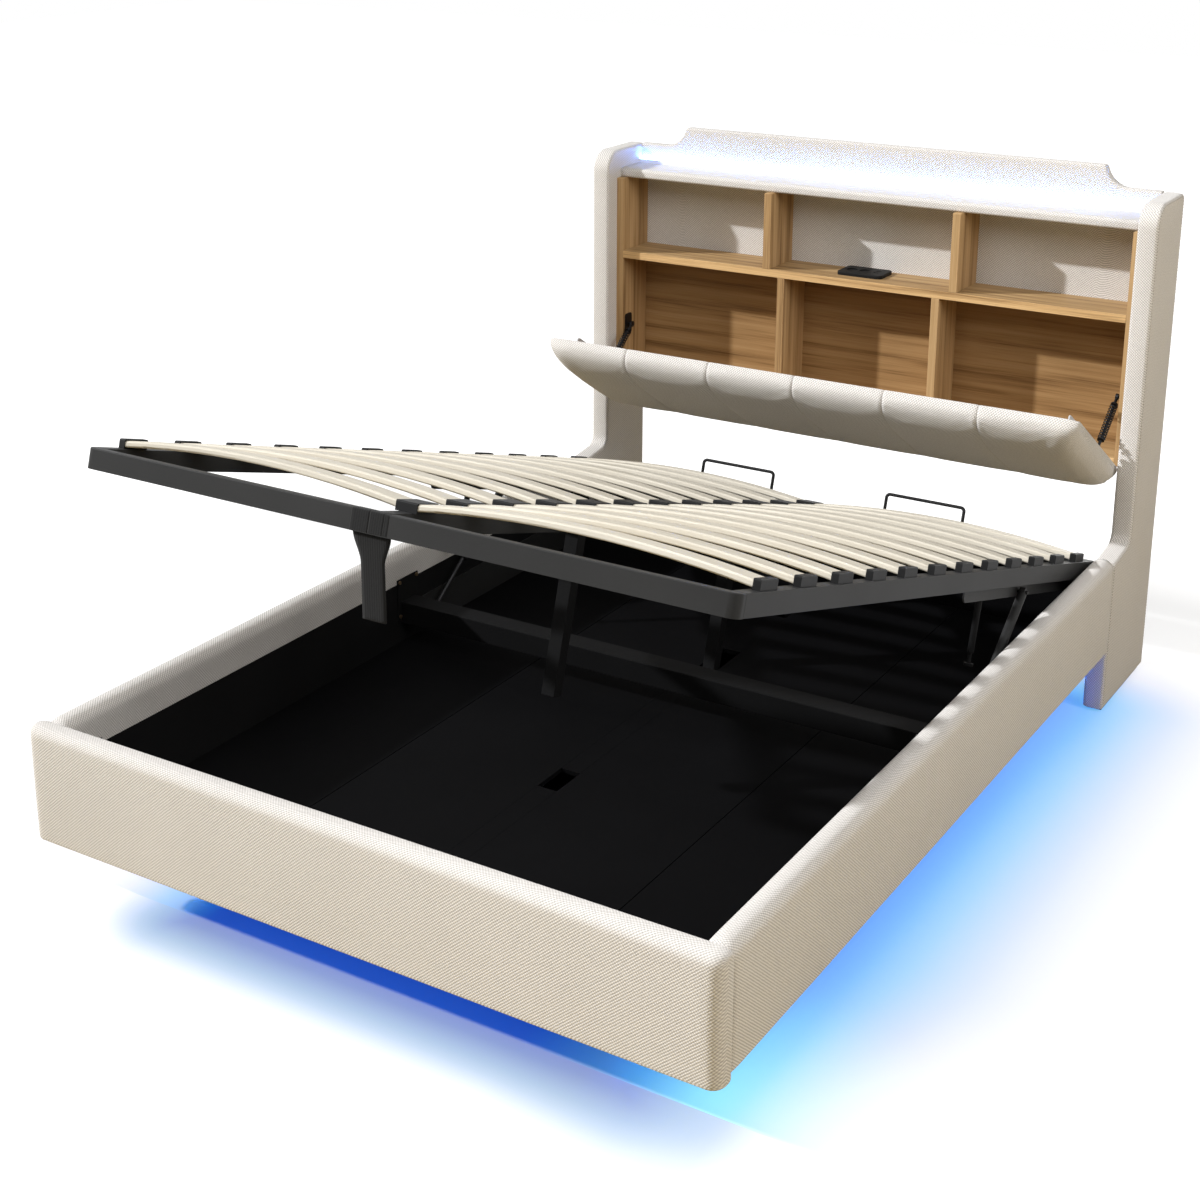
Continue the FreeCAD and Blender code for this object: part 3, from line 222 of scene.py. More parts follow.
slatTones = [(0.30, (0.48, 0.44, 0.365)), (0.50, (0.55, 0.51, 0.43)), (0.68, (0.60, 0.56, 0.48))]


def slatBirch(name):
    material, tree, shader = newMaterial(name, (0.78, 0.70, 0.55), 0.5, Specular_IOR_Level=0.2)
    grain = noiseOf(tree, onObject(tree, lengthwise(0, 3, 90)), 1.0, 5, 0.6)
    plies = noiseOf(tree, onObject(tree, lengthwise(0, 1.5, 9)), 1.0, 2)
    tone = weighted(tree, [(grain, 0.7), (plies, 0.3)])
    tree.links.new(ramp(tree, tone, slatTones), shader.inputs["Base Color"])
    bump(tree, shader, grain, 0.08, 0.0004)
    return material


def brushed(name, colour, axis, roughness):
    material, tree, shader = newMaterial(name, colour, roughness, Metallic=1.0)
    streak = noiseOf(tree, onObject(tree, lengthwise(axis, 20.0, 900.0)), 1.0, 2)
    tree.links.new(weighted(tree, [(streak, 0.2)], roughness - 0.1), shader.inputs["Roughness"])
    tones = [(0.3, [0.8 * c for c in colour]), (0.7, colour)]
    tree.links.new(ramp(tree, streak, tones), shader.inputs["Base Color"])
    bump(tree, shader, streak, 0.06, 0.0003)
    return material


strapWeave = {"rib": 0.0022, "cord": 0.005, "cordShare": 0.6, "dark": (0.0025, 0.0025, 0.0025),
              "light": (0.011, 0.011, 0.0115)}


def webbing(name):
    material, tree, shader = newMaterial(name, (0.01, 0.01, 0.011), 0.8, Sheen_Weight=0.05,
                                         Specular_IOR_Level=0.15)
    across, along, _ = split(tree, addNode(tree, "UVMap", uv_map="cloth").outputs[0])
    ribs = mathNode(tree, "SINE", mathNode(tree, "MULTIPLY", along, 2 * math.pi / strapWeave["rib"]))
    cords = mathNode(tree, "SINE", mathNode(tree, "MULTIPLY", across, 2 * math.pi / strapWeave["cord"]))
    height = weighted(tree, [(cords, strapWeave["cordShare"])], ribs)
    level = weighted(tree, [(height, 0.25)], 0.5)
    tones = [(0.1, strapWeave["dark"]), (0.9, strapWeave["light"])]
    tree.links.new(ramp(tree, level, tones), shader.inputs["Base Color"])
    bump(tree, shader, height, 0.5, 0.0006)
    return material


def glowing(name, colour, sideways, endways, upward):  # how strongly each face of a strip shines
    material, tree, shader = newMaterial(name, (0.72, 0.74, 0.78), 0.5)
    shader.inputs["Emission Color"].default_value = (*colour, 1)
    x, y, up = facing(tree)
    faces = (mathNode(tree, "ABSOLUTE", x), mathNode(tree, "ABSOLUTE", y), up)
    turned = [mathNode(tree, "GREATER_THAN", face, 0.7) for face in faces]
    level = weighted(tree, zip(turned, (sideways, endways, upward)))
    tree.links.new(level, shader.inputs["Emission Strength"])
    return material


cream = linenTwill("creamLinen")
oakFlat = oakGrain("oakLengthwise", 0, (0.95, 0.95, 0.93), 0.60)
oakUpright = oakGrain("oakUpright", 2, (1.0, 0.97, 0.94), 0.0)
oakBack = oakGrain("oakBackVeneer", 0, (0.74, 0.665, 0.585), 0.0)
blackBoard = speckled("blackLaminate", (0.002, 0.002, 0.0022), (0.0045, 0.0045, 0.005), 500, 0.6, 0.1,
                      Specular_IOR_Level=0.02)
powder = speckled("charcoalPowder", (0.014, 0.0141, 0.0143), (0.023, 0.0231, 0.0233), 900, 0.5, 0.2,
                  Specular_IOR_Level=0.12)
# a lighter black than the black boards, for the storage walls: painted light, as the walls stand in shade
linerPaintedLight = speckled("blackLinerPaintedLight", (0.006, 0.006, 0.0062), (0.010, 0.010, 0.0105), 600, 0.6, 0.1,
                      Specular_IOR_Level=0.03)
# a darker copy of the charcoal powder for the frame parts under the bed: painted shade
powderPaintedShade = speckled("charcoalPowderShaded", (0.004, 0.004, 0.0042), (0.008, 0.008, 0.0083), 900, 0.6, 0.2,
                      Specular_IOR_Level=0.05)
blackPlastic = speckled("blackPlastic", (0.005, 0.005, 0.005), (0.011, 0.011, 0.0115), 1200, 0.5, 0.15,
                        Specular_IOR_Level=0.12)
blackSteel = speckled("blackSteel", (0.007, 0.007, 0.008), (0.018, 0.018, 0.02), 700, 0.35, 0.1, Metallic=0.6)
birch = slatBirch("paleSlat")
steel = brushed("brightSteel", (0.60, 0.60, 0.62), 1, 0.3)
zinc = speckled("zincPlate", (0.36, 0.36, 0.37), (0.50, 0.50, 0.51), 500, 0.45, 0.1)
bronze = brushed("bronzeScrew", (0.36, 0.25, 0.14), 0, 0.38)
strapCloth = webbing("blackWebbing")
threadCream = speckled("creamThread", (0.45, 0.40, 0.32), (0.62, 0.56, 0.46), 1500, 0.8, 0.3)
threadDark = speckled("seamThread", (0.17, 0.145, 0.11), (0.28, 0.245, 0.19), 1500, 0.85, 0.3)
coolLight = glowing("coolLight", (0.10, 0.27, 1.0), 0.5, 0.25, 58.0)
blueLight = glowing("blueLight", (0.02, 0.17, 1.0), 70.0, 8.0, 8.0)
print("materials ready")

cadFinish = {
    "oak": oakFlat, "flap_backing": oakFlat, "black_board": blackBoard, "charcoal_steel": powder,
    "slat_wood": birch, "black_plastic": blackPlastic, "bright_steel": steel, "black_steel": blackSteel,
    "bronze": bronze, "webbing": strapCloth, "cool_light": coolLight, "blue_light": blueLight,
    "upholstery": cream,
}
# the storage liner takes the lighter black, painted light for walls in shade
ownFinish = {"lower_back": oakBack, "storage_liner": linerPaintedLight, "stay_tracks": zinc}
for name in ("cabinet_side", "upper_divider", "lower_divider"):
    ownFinish.update({name + "_left": oakUpright, name + "_right": oakUpright})
ownFinish.update({"strut_rod_left": blackSteel, "strut_rod_right": blackSteel})
# the frame parts under the bed take the darker powder, painted shade
ownFinish.update({name: powderPaintedShade for name in ("cross_beam", "center_legs", "side_legs", "rail_brackets")})
edged = {"oak": 0.0012, "black_board": 0.0008, "charcoal_steel": 0.0012}  # eased edges of boards and tubes
for entry in frame["record"]["subparts"]:
    part = nodes[entry["node"]]
    finish = ownFinish.get(entry["node"], cadFinish[entry["material_slot"]])
    part.data.materials.clear()
    part.data.materials.append(finish)
    ease = edged.get(entry["material_slot"])
    if ease:
        weld = part.modifiers.new("weld", "WELD")
        weld.merge_threshold = 0.00001
        bevel = part.modifiers.new("ease", "BEVEL")
        bevel.width = ease
        bevel.segments = 2
        bevel.limit_method = "ANGLE"
        bevel.angle_limit = math.radians(50)
print("frame finishes set")


# shared shape helpers

def newPiece(name, points, faces, uvs=None):
    mesh = bpy.data.meshes.new(name)
    mesh.from_pydata(points, [], faces)
    if uvs is not None:
        layer = mesh.uv_layers.new(name="cloth")
        for loop in mesh.loops:
            layer.data[loop.index].uv = uvs[loop.vertex_index]
    mesh.shade_smooth()
    piece = bpy.data.objects.new(name, mesh)
    scene.collection.objects.link(piece)
    return piece


def outward(piece):
    work = bmesh.new()
    work.from_mesh(piece.data)
    bmesh.ops.recalc_face_normals(work, faces=work.faces)
    work.to_mesh(piece.data)
    work.free()


def boxUv(piece):  # cloth coordinates in metres, laid flat on each side
    mesh = piece.data
    layer = mesh.uv_layers.get("cloth") or mesh.uv_layers.new(name="cloth")
    for poly in mesh.polygons:
        size = [abs(v) for v in poly.normal]
        axis = size.index(max(size))
        a, b = [(1, 2), (0, 2), (0, 1)][axis]
        for index in poly.loop_indices:
            point = mesh.vertices[mesh.loops[index].vertex_index].co
            layer.data[index].uv = (point[a], point[b])


# closed loop of a rounded rectangle: runs counter-clockwise from the low corner, each side cut into steps
def roundLoop(low, high, radii, steps, turns=6):
    (a0, b0), (a1, b1) = low, high
    r0, r1, r2, r3 = radii
    centres = [(a0 + r0, b0 + r0, r0, 180), (a1 - r1, b0 + r1, r1, 270), (a1 - r2, b1 - r2, r2, 0),
               (a0 + r3, b1 - r3, r3, 90)]
    arcs = []
    for a, b, r, begin in centres:
        arcs.append([(a + r * math.cos(math.radians(begin + 90 * i / turns)),
                      b + r * math.sin(math.radians(begin + 90 * i / turns))) for i in range(turns + 1)])
    loop = []
    for i in range(4):
        loop += arcs[i]
        start, stop = arcs[i][-1], arcs[(i + 1) % 4][0]
        for k in range(1, steps[i]):
            f = k / steps[i]
            loop.append((start[0] + (stop[0] - start[0]) * f, start[1] + (stop[1] - start[1]) * f))
    return loop


# skin over a row of equal loops, closed at both ends; cloth runs along the row and round the loop
def skinned(name, loops, places):
    count, size = len(loops), len(loops[0])
    girth = [0.0]
    middle = loops[count // 2]
    for i in range(size):
        girth.append(girth[-1] + (Vector(middle[(i + 1) % size]) - Vector(middle[i])).length)
    points, faces, spots = [], [], []
    for loop in loops:
        points += loop
    for i in range(count - 1):
        for k in range(size):
            n = (k + 1) % size
            faces.append((i * size + k, i * size + n, (i + 1) * size + n, (i + 1) * size + k))
            spots.append([(places[i], girth[k]), (places[i], girth[k + 1]), (places[i + 1], girth[k + 1]),
                          (places[i + 1], girth[k])])
    sides = len(faces)
    faces.append(tuple(range(size)))
    faces.append(tuple(range((count - 1) * size, count * size)))
    piece = newPiece(name, points, faces)
    mesh = piece.data
    layer = mesh.uv_layers.new(name="cloth")
    for poly in mesh.polygons:
        for k, index in enumerate(poly.loop_indices):
            point = mesh.vertices[mesh.loops[index].vertex_index].co
            onSide = poly.index < sides
            layer.data[index].uv = spots[poly.index][k] if onSide else (point.y + point.x, point.z)
    outward(piece)
    return piece


def spread(start, stop, count):
    return [start + (stop - start) * i / (count - 1) for i in range(count)]


def ripple(point, size, amount):  # slow, small unevenness of foam under cloth
    return amount * noise.noise(Vector(point) * size)


def upholstered(piece, body, replaced):
    piece.data.materials.append(cream)
    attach(piece, body)
    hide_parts(replaced)


def trim(piece, body):
    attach(piece, body)


# footboard: a long soft board with wrapped corners
footSize = {"half": 0.750, "front": -1.139, "back": -1.087, "low": 0.150, "high": 0.391, "frontCorner": 0.024,
            "backCorner": 0.012, "top": 0.021, "topShare": 0.42, "hem": 0.006, "cornerDrop": 0.010,
            "hemLift": 0.003, "crown": 0.0022, "ripple": 0.0006, "rippleSize": 5, "stations": 110,
            "steps": (4, 14, 3, 18)}


def makeFootboard(s):
    corner = s["frontCorner"]
    xs = [-s["half"] + corner * (1 - math.cos(math.radians(a))) for a in range(0, 91, 10)]
    xs = xs + spread(xs[-1], -xs[-1], s["stations"])[1:-1] + [-x for x in reversed(xs)]
    loops = []
    for x in xs:
        reach = max(0.0, (abs(x) - (s["half"] - corner)) / corner)
        fall = 1 - math.sqrt(max(0.0, 1 - reach * reach))
        front = s["front"] + corner * fall
        back = s["back"] - s["backCorner"] * fall
        top = min(s["top"], (back - front) * s["topShare"])
        loop = roundLoop((front, s["low"] + s["hemLift"] * fall), (back, s["high"] - s["cornerDrop"] * fall),
                         (s["hem"], s["hem"], top, top), s["steps"])
        shaped = []
        for y, z in loop:
            lift = (z - s["low"]) / (s["high"] - s["low"])
            swell = s["crown"] * math.sin(math.pi * min(1, max(0, lift))) * (1 - reach)
            if y < (front + back) / 2:
                y -= swell + ripple((x, 0, z), s["rippleSize"], s["ripple"])
            shaped.append((x, y, z))
        loops.append(shaped)
    return skinned("footboardCover", loops, xs)


footCover = makeFootboard(footSize)
upholstered(footCover, "bed_base", "footboard")

# side rails
railSize = {"inner": 0.693, "outer": 0.745, "start": -1.0865, "stop": 0.8195, "low": 0.154, "high": 0.388,
            "top": 0.023, "hem": 0.006, "crown": 0.0028, "ripple": 0.0007, "rippleSize": 4, "endRun": 0.03,
            "endTuck": 0.0016, "stations": 140, "steps": (3, 18, 3, 14)}


def makeRail(s, name, sign):
    ys = spread(s["start"], s["stop"], s["stations"])
    loops = []
    for y in ys:
        loop = roundLoop((s["inner"], s["low"]), (s["outer"], s["high"]),
                         (s["hem"], s["hem"], s["top"], s["top"]), s["steps"])
        edge = min(1.0, min(y - s["start"], s["stop"] - y) / s["endRun"])
        tuck = s["endTuck"] * (1 - edge) ** 2
        shaped = []
        for x, z in loop:
            lift = (z - s["low"]) / (s["high"] - s["low"])
            if x > (s["inner"] + s["outer"]) / 2:
                uneven = ripple((0.7 * sign, y, z), s["rippleSize"], s["ripple"])
                x += s["crown"] * math.sin(math.pi * lift) * edge + uneven - tuck
            shaped.append((sign * x, y, z - (tuck if lift > 0.9 else 0)))
        loops.append(shaped)
    return skinned(name, loops, ys)


for side, sign in (("left", -1), ("right", 1)):
    rail = makeRail(railSize, "railCover_" + side, sign)
    upholstered(rail, "bed_base", "side_rail_" + side)
print("footboard and rails covered")

# headboard wings: the outline is walked once, each station carries a soft edge and two flat sides
wingSize = {"inner": 0.697, "outer": 0.745, "base": 0.820, "front": 0.939, "back": 1.139, "low": 0.008,
            "ledgeLow": 0.376, "ledgeHigh": 0.391, "top": 1.198, "step": 0.028, "crown": 0.052, "heel": 0.014,
            "nose": 0.010, "hem": 0.003, "edge": 0.007, "swell": 0.0015, "swellRun": 0.06, "innerShare": 0.2,
            "spine": 1.052, "spineLow": 0.11, "spineHigh": 1.10, "spineShare": 0.1, "rows": 7,
            "spacing": 0.012}


# corners: (y, z, radius); arcs are cut finely, straight runs evenly
def roundedOutline(corners, spacing, cutsPerMetre=400):
    count = len(corners)
    pieces = []
    for i, (y, z, r) in enumerate(corners):
        here = Vector((y, z))
        before = (Vector(corners[i - 1][:2]) - here).normalized()
        after = (Vector(corners[(i + 1) % count][:2]) - here).normalized()
        half = before.angle(after) / 2
        reach = r / math.tan(half)
        start, stop = here + before * reach, here + after * reach
        centre = here + (before + after).normalized() * (r / math.sin(half))
        turns = max(2, int(cutsPerMetre * r))
        arc = []
        for k in range(turns + 1):
            spot = start.lerp(stop, k / turns) - centre
            arc.append(centre + spot.normalized() * r)
        pieces.append(arc)
    path = []
    for i in range(count):
        path += pieces[i]
        start, stop = pieces[i][-1], pieces[(i + 1) % count][0]
        steps = max(1, int((stop - start).length / spacing))
        path += [start.lerp(stop, k / steps) for k in range(1, steps)]
    return path


def wingOutline(s):
    corners = [(s["base"], s["low"], s["hem"]), (s["back"], s["low"], s["hem"]),
               (s["back"], s["top"], s["heel"]), (s["front"], s["top"], s["crown"]),
               (s["front"], s["ledgeHigh"], s["step"]), (s["base"], s["ledgeLow"], s["nose"])]
    return roundedOutline(corners, s["spacing"])


def outlineNormals(path):
    count = len(path)
    normals = []
    for i in range(count):
        tangent = (path[(i + 1) % count] - path[i - 1]).normalized()
        normals.append(Vector((tangent.y, -tangent.x)))
    return normals


def makeWing(s, name, sign):
    path = wingOutline(s)
    normals = outlineNormals(path)
    edge, inner, outer = s["edge"], s["inner"], s["outer"]
    quarter = [math.radians(15 * k) for k in range(7)]
    band = [(inner + edge * (1 - math.cos(a)), edge * (1 - math.sin(a))) for a in quarter]
    band += [(x, 0.0) for x in spread(inner + edge, outer - edge, 6)[1:-1]]
    band += [(outer - edge * (1 - math.sin(a)), edge * (1 - math.cos(a))) for a in quarter]
    rows, share = s["rows"], s["spineShare"]
    points, faces = [], []
    size = len(band) + 2 * rows
    rimTree = KDTree(len(path))
    for i, point in enumerate(path):
        rimTree.insert((point.x, point.y, 0), i)
    rimTree.balance()

    def puffAt(spot):  # the sides swell within a hand's width of the edge and stay flat from there
        deep = (rimTree.find((spot.x, spot.y, 0))[2] - edge) / s["swellRun"]
        return s["swell"] * (1 - (1 - min(max(deep, 0), 1)) ** 2)

    def insetSpot(point, normal, inset):  # the tight lower corners are mitred, so that no inset folds over
        spot = point - normal * inset
        return Vector((min(max(spot.x, s["base"] + inset), s["back"] - inset), max(spot.y, s["low"] + inset)))

    for point, normal in zip(path, normals):
        foot = Vector((s["spine"], min(max(point.y, s["spineLow"]), s["spineHigh"])))
        rim = insetSpot(point, normal, edge)
        line = []
        for k in range(rows):
            spot = foot.lerp(rim, share + (1 - share) * k / rows)
            line.append((inner - puffAt(spot) * s["innerShare"], spot))
        for x, inset in band:
            swell = s["swell"] * math.sin(math.pi * (x - inner) / (outer - inner))
            line.append((x, insetSpot(point, normal, inset - swell)))
        for k in range(rows):
            spot = foot.lerp(rim, 1 - (1 - share) * (k + 1) / rows)
            line.append((outer + puffAt(spot), spot))
        points += [(sign * x, spot.x, spot.y) for x, spot in line]
    count = len(path)
    for i in range(count):
        n = (i + 1) % count
        for k in range(size - 1):
            faces.append((i * size + k, n * size + k, n * size + k + 1, i * size + k + 1))
    piece = newPiece(name, points, faces)
    work = bmesh.new()
    work.from_mesh(piece.data)
    bmesh.ops.remove_doubles(work, verts=work.verts, dist=0.00002)
    bmesh.ops.holes_fill(work, edges=[e for e in work.edges if e.is_boundary], sides=0)
    bmesh.ops.dissolve_degenerate(work, edges=work.edges, dist=0.00001)
    bmesh.ops.recalc_face_normals(work, faces=work.faces)
    work.to_mesh(piece.data)
    work.free()
    boxUv(piece)
    piece.data.shade_smooth()
    return piece


for side, sign in (("left", -1), ("right", 1)):
    wing = makeWing(wingSize, "wingCover_" + side, sign)
    upholstered(wing, "bed_base", "wing_" + side)
print("wings covered")

# crest board: shoulders sweep up into the raised middle
crestSize = {"half": 0.697, "front": 1.114, "back": 1.139, "low": 0.560, "shoulder": 1.200, "top": 1.251,
             "flat": 0.562, "foot": 0.581, "sweep": 0.062, "corner": 0.009, "edge": 0.006, "hem": 0.001,
             "spacing": 0.02, "closest": 0.0004, "steps": (2, 24, 2, 24)}


def crestLine(s):
    hem = s["hem"]
    corners = [(-s["half"], s["shoulder"], hem), (-s["foot"], s["shoulder"], s["sweep"]),
               (-s["flat"], s["top"], s["corner"]), (s["flat"], s["top"], s["corner"]),
               (s["foot"], s["shoulder"], s["sweep"]), (s["half"], s["shoulder"], hem),
               (s["half"], s["low"], hem), (-s["half"], s["low"], hem)]
    path = roundedOutline(corners, s["spacing"])
    line = [p for p in path if p.y > s["shoulder"] - hem / 2]
    line.sort(key=lambda p: (round(p.x, 5), p.y))
    kept = []
    for p in line:
        if not kept or p.x - kept[-1].x > s["closest"]:
            kept.append(p)
    return kept


def makeCrest(s):
    line = crestLine(s)
    loops = []
    for p in line:
        loop = roundLoop((s["front"], s["low"]), (s["back"], p.y), (s["hem"], s["hem"], s["edge"], s["edge"]),
                         s["steps"], 4)
        loops.append([(p.x, y, z) for y, z in loop])
    return skinned("crestCover", loops, [p.x for p in line])


crest = makeCrest(crestSize)
upholstered(crest, "bed_base", "back_panel")

# wrapped shelf over the cabinet
shelfSize = {"half": 0.697, "front": 1.001, "back": 1.114, "low": 1.125, "high": 1.149, "nose": 0.009,
             "lowNose": 0.0063, "hem": 0.001, "ripple": 0.0003, "rippleSize": 6, "rippleTo": 1.01,
             "stations": 60, "steps": (8, 4, 8, 3)}


def makeTopShelf(s):
    xs = spread(-s["half"], s["half"], s["stations"])
    loop = roundLoop((s["front"], s["low"]), (s["back"], s["high"]),
                     (s["lowNose"], s["hem"], s["hem"], s["nose"]), s["steps"])
    loops = []
    for x in xs:
        shaped = []
        for y, z in loop:
            uneven = ripple((x, y, z), s["rippleSize"], s["ripple"]) if y < s["rippleTo"] else 0.0
            shaped.append((x, y + uneven, z))
        loops.append(shaped)
    return skinned("topShelfCover", loops, xs)


topShelf = makeTopShelf(shelfSize)
upholstered(topShelf, "bed_base", "top_shelf")
print("crest and top shelf covered")

# flap pad: sewn channels swollen by a short cloth run
padSize = {"half": 0.691, "channels": 6, "thick": 0.067, "end": 0.014, "seamRun": 0.010, "endRun": 0.050,
           "seamDip": 0.0060, "faceDip": 0.0014, "dipRun": 0.045, "seamTuck": 0.0045, "endTuck": 0.014,
           "low": 0.0045, "high": 0.408, "fullAt": 0.215, "noseShape": 3.1, "footShape": 4.0, "lip": 0.005,
           "inner": -0.001, "boardHalf": 0.6725, "boardBack": -0.0135, "boardTop": 0.3788,
           "boardStep": 0.0006, "boardEdge": 0.0002, "leastFoam": 0.004, "backSteps": 12,
           "thin": 0.03, "noseStart": 1.6, "noseSteps": 26, "footSteps": 24, "channelSteps": 14,
           "pressure": 3.0, "stiffness": 12, "frames": 20, "cap": 0.0018, "held": 0.0015, "endHeld": 0.002,
           "pucker": 0.0005, "puckerPitch": 0.017, "puckerSlant": 3, "puckerRun": 0.05, "puckerFade": 0.016,
           "puckerStart": 0.003, "hair": 0.0005}
besideSeam = [0, 0.0012, 0.003, 0.006, 0.010, 0.015, 0.020, 0.028, 0.038, 0.048]  # closer cuts next to a seam
flapHinge = (0.983, 0.556, math.radians(58.4))


def flapPoint(x, y, z):
    py, pz, turn = flapHinge
    return (x, py + y * math.cos(turn) - z * math.sin(turn), pz + y * math.sin(turn) + z * math.cos(turn))


def seamPlaces(s):
    pitch = 2 * s["half"] / s["channels"]
    return [-s["half"] + pitch * i for i in range(1, s["channels"])]


def padRise(s, x):  # share of the full depth left near the ends, share of a seam's dip
    ends = min(1.0, (s["half"] - abs(x)) / s["endRun"])
    rise = math.sqrt(max(0.0, 1 - (1 - ends) ** 2))
    seam = min(1.0, min(abs(x - place) for place in seamPlaces(s)) / s["seamRun"])
    return rise, 1 - math.sqrt(max(0.0, 1 - (1 - seam) ** 2))


def padStations(s):
    xs = set()
    stops = [-s["half"]] + seamPlaces(s) + [s["half"]]
    for a, b in zip(stops, stops[1:]):
        xs.update(round(a + f, 5) for f in besideSeam)
        xs.update(round(b - f, 5) for f in besideSeam)
        inner = spread(a + besideSeam[-1], b - besideSeam[-1], s["channelSteps"])
        xs.update(round(x, 5) for x in inner)
    for sign in (-1, 1):
        xs.update((round(sign * s["boardHalf"], 5), round(sign * (s["boardHalf"] + s["boardStep"]), 5)))
    return sorted(xs)


def padLoop(s, x):
    rise, dip = padRise(s, x)
    high = s["high"] - s["endTuck"] * (1 - rise) - s["seamTuck"] * dip
    low = s["low"] + s["endTuck"] * (1 - rise) / 2
    full = s["end"] + (s["thick"] - s["end"]) * rise
    inner, lip, middle = s["inner"], s["lip"] * min(1.0, full / s["thin"]), s["fullAt"]
    onBoard = abs(x) <= s["boardHalf"] + s["boardEdge"]
    back = max(s["boardBack"], inner - full + s["leastFoam"]) if onBoard else inner

    def face(z, depth):  # the seam pulls in most at the nose
        pull = s["faceDip"] + (s["seamDip"] - s["faceDip"]) * math.exp((z - high) / s["dipRun"])
        return inner - depth + dip * pull * min(1.0, depth / s["thin"])

    arc = [math.radians(90 * k / 4) for k in range(5)]
    loop = [(back, z) for z in spread(low, s["boardTop"], s["backSteps"])]
    loop.append(((back + inner) / 2, s["boardTop"] + s["boardEdge"]))
    loop += [(inner, z) for z in spread(s["boardTop"] + 2 * s["boardEdge"], high - lip, 4)]
    loop += [(inner - lip * (1 - math.cos(a)), high - lip * (1 - math.sin(a))) for a in arc[1:]]
    start = s["noseStart"] * lip
    for k in range(1, s["noseSteps"] + 1):  # over the nose to the fullest place
        a = math.radians(90 * k / s["noseSteps"])
        depth = start + (full - start) * math.sin(a) ** (2 / s["noseShape"])
        z = middle + (high - middle) * max(0.0, math.cos(a)) ** (2 / s["noseShape"])
        loop.append((face(z, depth), z))
    start = inner - back
    for k in range(1, s["footSteps"]):  # from the fullest place to the hinge edge
        a = math.radians(90 * k / s["footSteps"])
        depth = start + (full - start) * max(0.0, math.cos(a)) ** (2 / s["footShape"])
        z = middle - (middle - low) * math.sin(a) ** (2 / s["footShape"])
        loop.append((face(z, depth), z))
    return loop


def makePad(s):
    xs = padStations(s)
    loops = [[(x, y, z) for y, z in padLoop(s, x)] for x in xs]
    pad = skinned("flapPadCover", loops, xs)
    mesh = pad.data
    rest = [v.co.copy() for v in mesh.vertices]
    seams = seamPlaces(s)
    pins = pad.vertex_groups.new(name="pins")
    for v in mesh.vertices:
        seam = min(abs(v.co.x - place) for place in seams)
        onBoard = v.co.y > s["boardBack"] - s["hair"]
        held = seam < s["held"] or onBoard or abs(v.co.x) > s["half"] - s["endHeld"]
        pins.add([v.index], 1.0 if held else 0.0, "REPLACE")
    cloth = pad.modifiers.new("puff", "CLOTH")
    cloth.settings.vertex_group_mass = "pins"
    cloth.settings.use_pressure = True
    cloth.settings.uniform_pressure_force = s["pressure"]
    cloth.settings.effector_weights.gravity = 0
    cloth.settings.tension_stiffness = s["stiffness"]
    cloth.settings.compression_stiffness = s["stiffness"]
    cloth.settings.quality = 5
    cloth.collision_settings.use_collision = False
    cloth.point_cache.frame_start = 1
    cloth.point_cache.frame_end = s["frames"]
    for f in range(1, s["frames"] + 1):
        scene.frame_set(f)
    shown = pad.evaluated_get(bpy.context.evaluated_depsgraph_get())
    swollen = [v.co.copy() for v in shown.data.vertices]
    pad.modifiers.remove(cloth)
    pad.vertex_groups.clear()
    scene.frame_set(1)
    for v, before, after in zip(mesh.vertices, rest, swollen):
        move = after - before
        if move.length > s["cap"]:
            move *= s["cap"] / move.length
        v.co = before + move
    for v, before in zip(mesh.vertices, rest):  # small gathers beside each seam
        seam = min(abs(before.x - place) for place in seams)
        if before.y > s["boardBack"] - s["hair"] or seam > s["puckerRun"]:
            continue
        fade = math.exp(-seam / s["puckerFade"]) * (1 - math.exp(-seam / s["puckerStart"]))
        phase = 2 * math.pi * before.z / s["puckerPitch"] + s["puckerSlant"] * before.x
        v.co.y += s["pucker"] * fade * math.sin(phase)
    for v in mesh.vertices:
        v.co = flapPoint(*v.co)
    mesh.update()
    smooth = pad.modifiers.new("smooth", "SUBSURF")
    smooth.levels = smooth.render_levels = 1
    return pad


flapPad = makePad(padSize)
upholstered(flapPad, "flap", "flap_pad")
print("flap pad swollen")

# pull strap: webbing round the foot tube, doubled tail
strapSize = {"middle": -0.015, "wrap": 0.040, "tail": 0.025, "thick": 0.0024, "gap": 0.0006,
             "tube": (0.026, 0.040), "tubeLow": 0.006, "reach": 1.885, "drop": 0.160, "taper": 0.055,
             "turn": 0.004, "slit": 0.0155, "tailSteps": 26}
liftHinge = (0.806, 0.330, math.radians(16.83))


def liftPoint(x, y, z):
    py, pz, turn = liftHinge
    return (x, py + y * math.cos(turn) + z * math.sin(turn), pz - y * math.sin(turn) + z * math.cos(turn))


def makeStrap(s):
    deep, high = s["tube"]
    y0, z0 = -s["reach"] - s["gap"], s["tubeLow"] - s["gap"]
    y1, z1 = -s["reach"] + deep + s["gap"], s["tubeLow"] + high + s["gap"]
    middle = (y0 + y1) / 2
    loop = roundLoop((y0, z0), (y1, z1), (s["turn"],) * 4, (8, 8, 8, 8), 5)
    start = min(range(len(loop)), key=lambda i: abs(loop[i][0] - middle) + 10 * abs(loop[i][1] - z0))
    loop = loop[start:] + loop[:start + 1]
    turn = liftHinge[2]
    tail = []
    for d in spread(0.0, s["drop"], s["tailSteps"]):  # plumb at rest, in the frame's own axes
        f = min(1.0, d / s["taper"])
        half = s["wrap"] + (s["tail"] - s["wrap"]) * f * f * (3 - 2 * f)
        tail.append((middle + math.sin(turn) * d, z0 - math.cos(turn) * d, half))
    return loop, tail


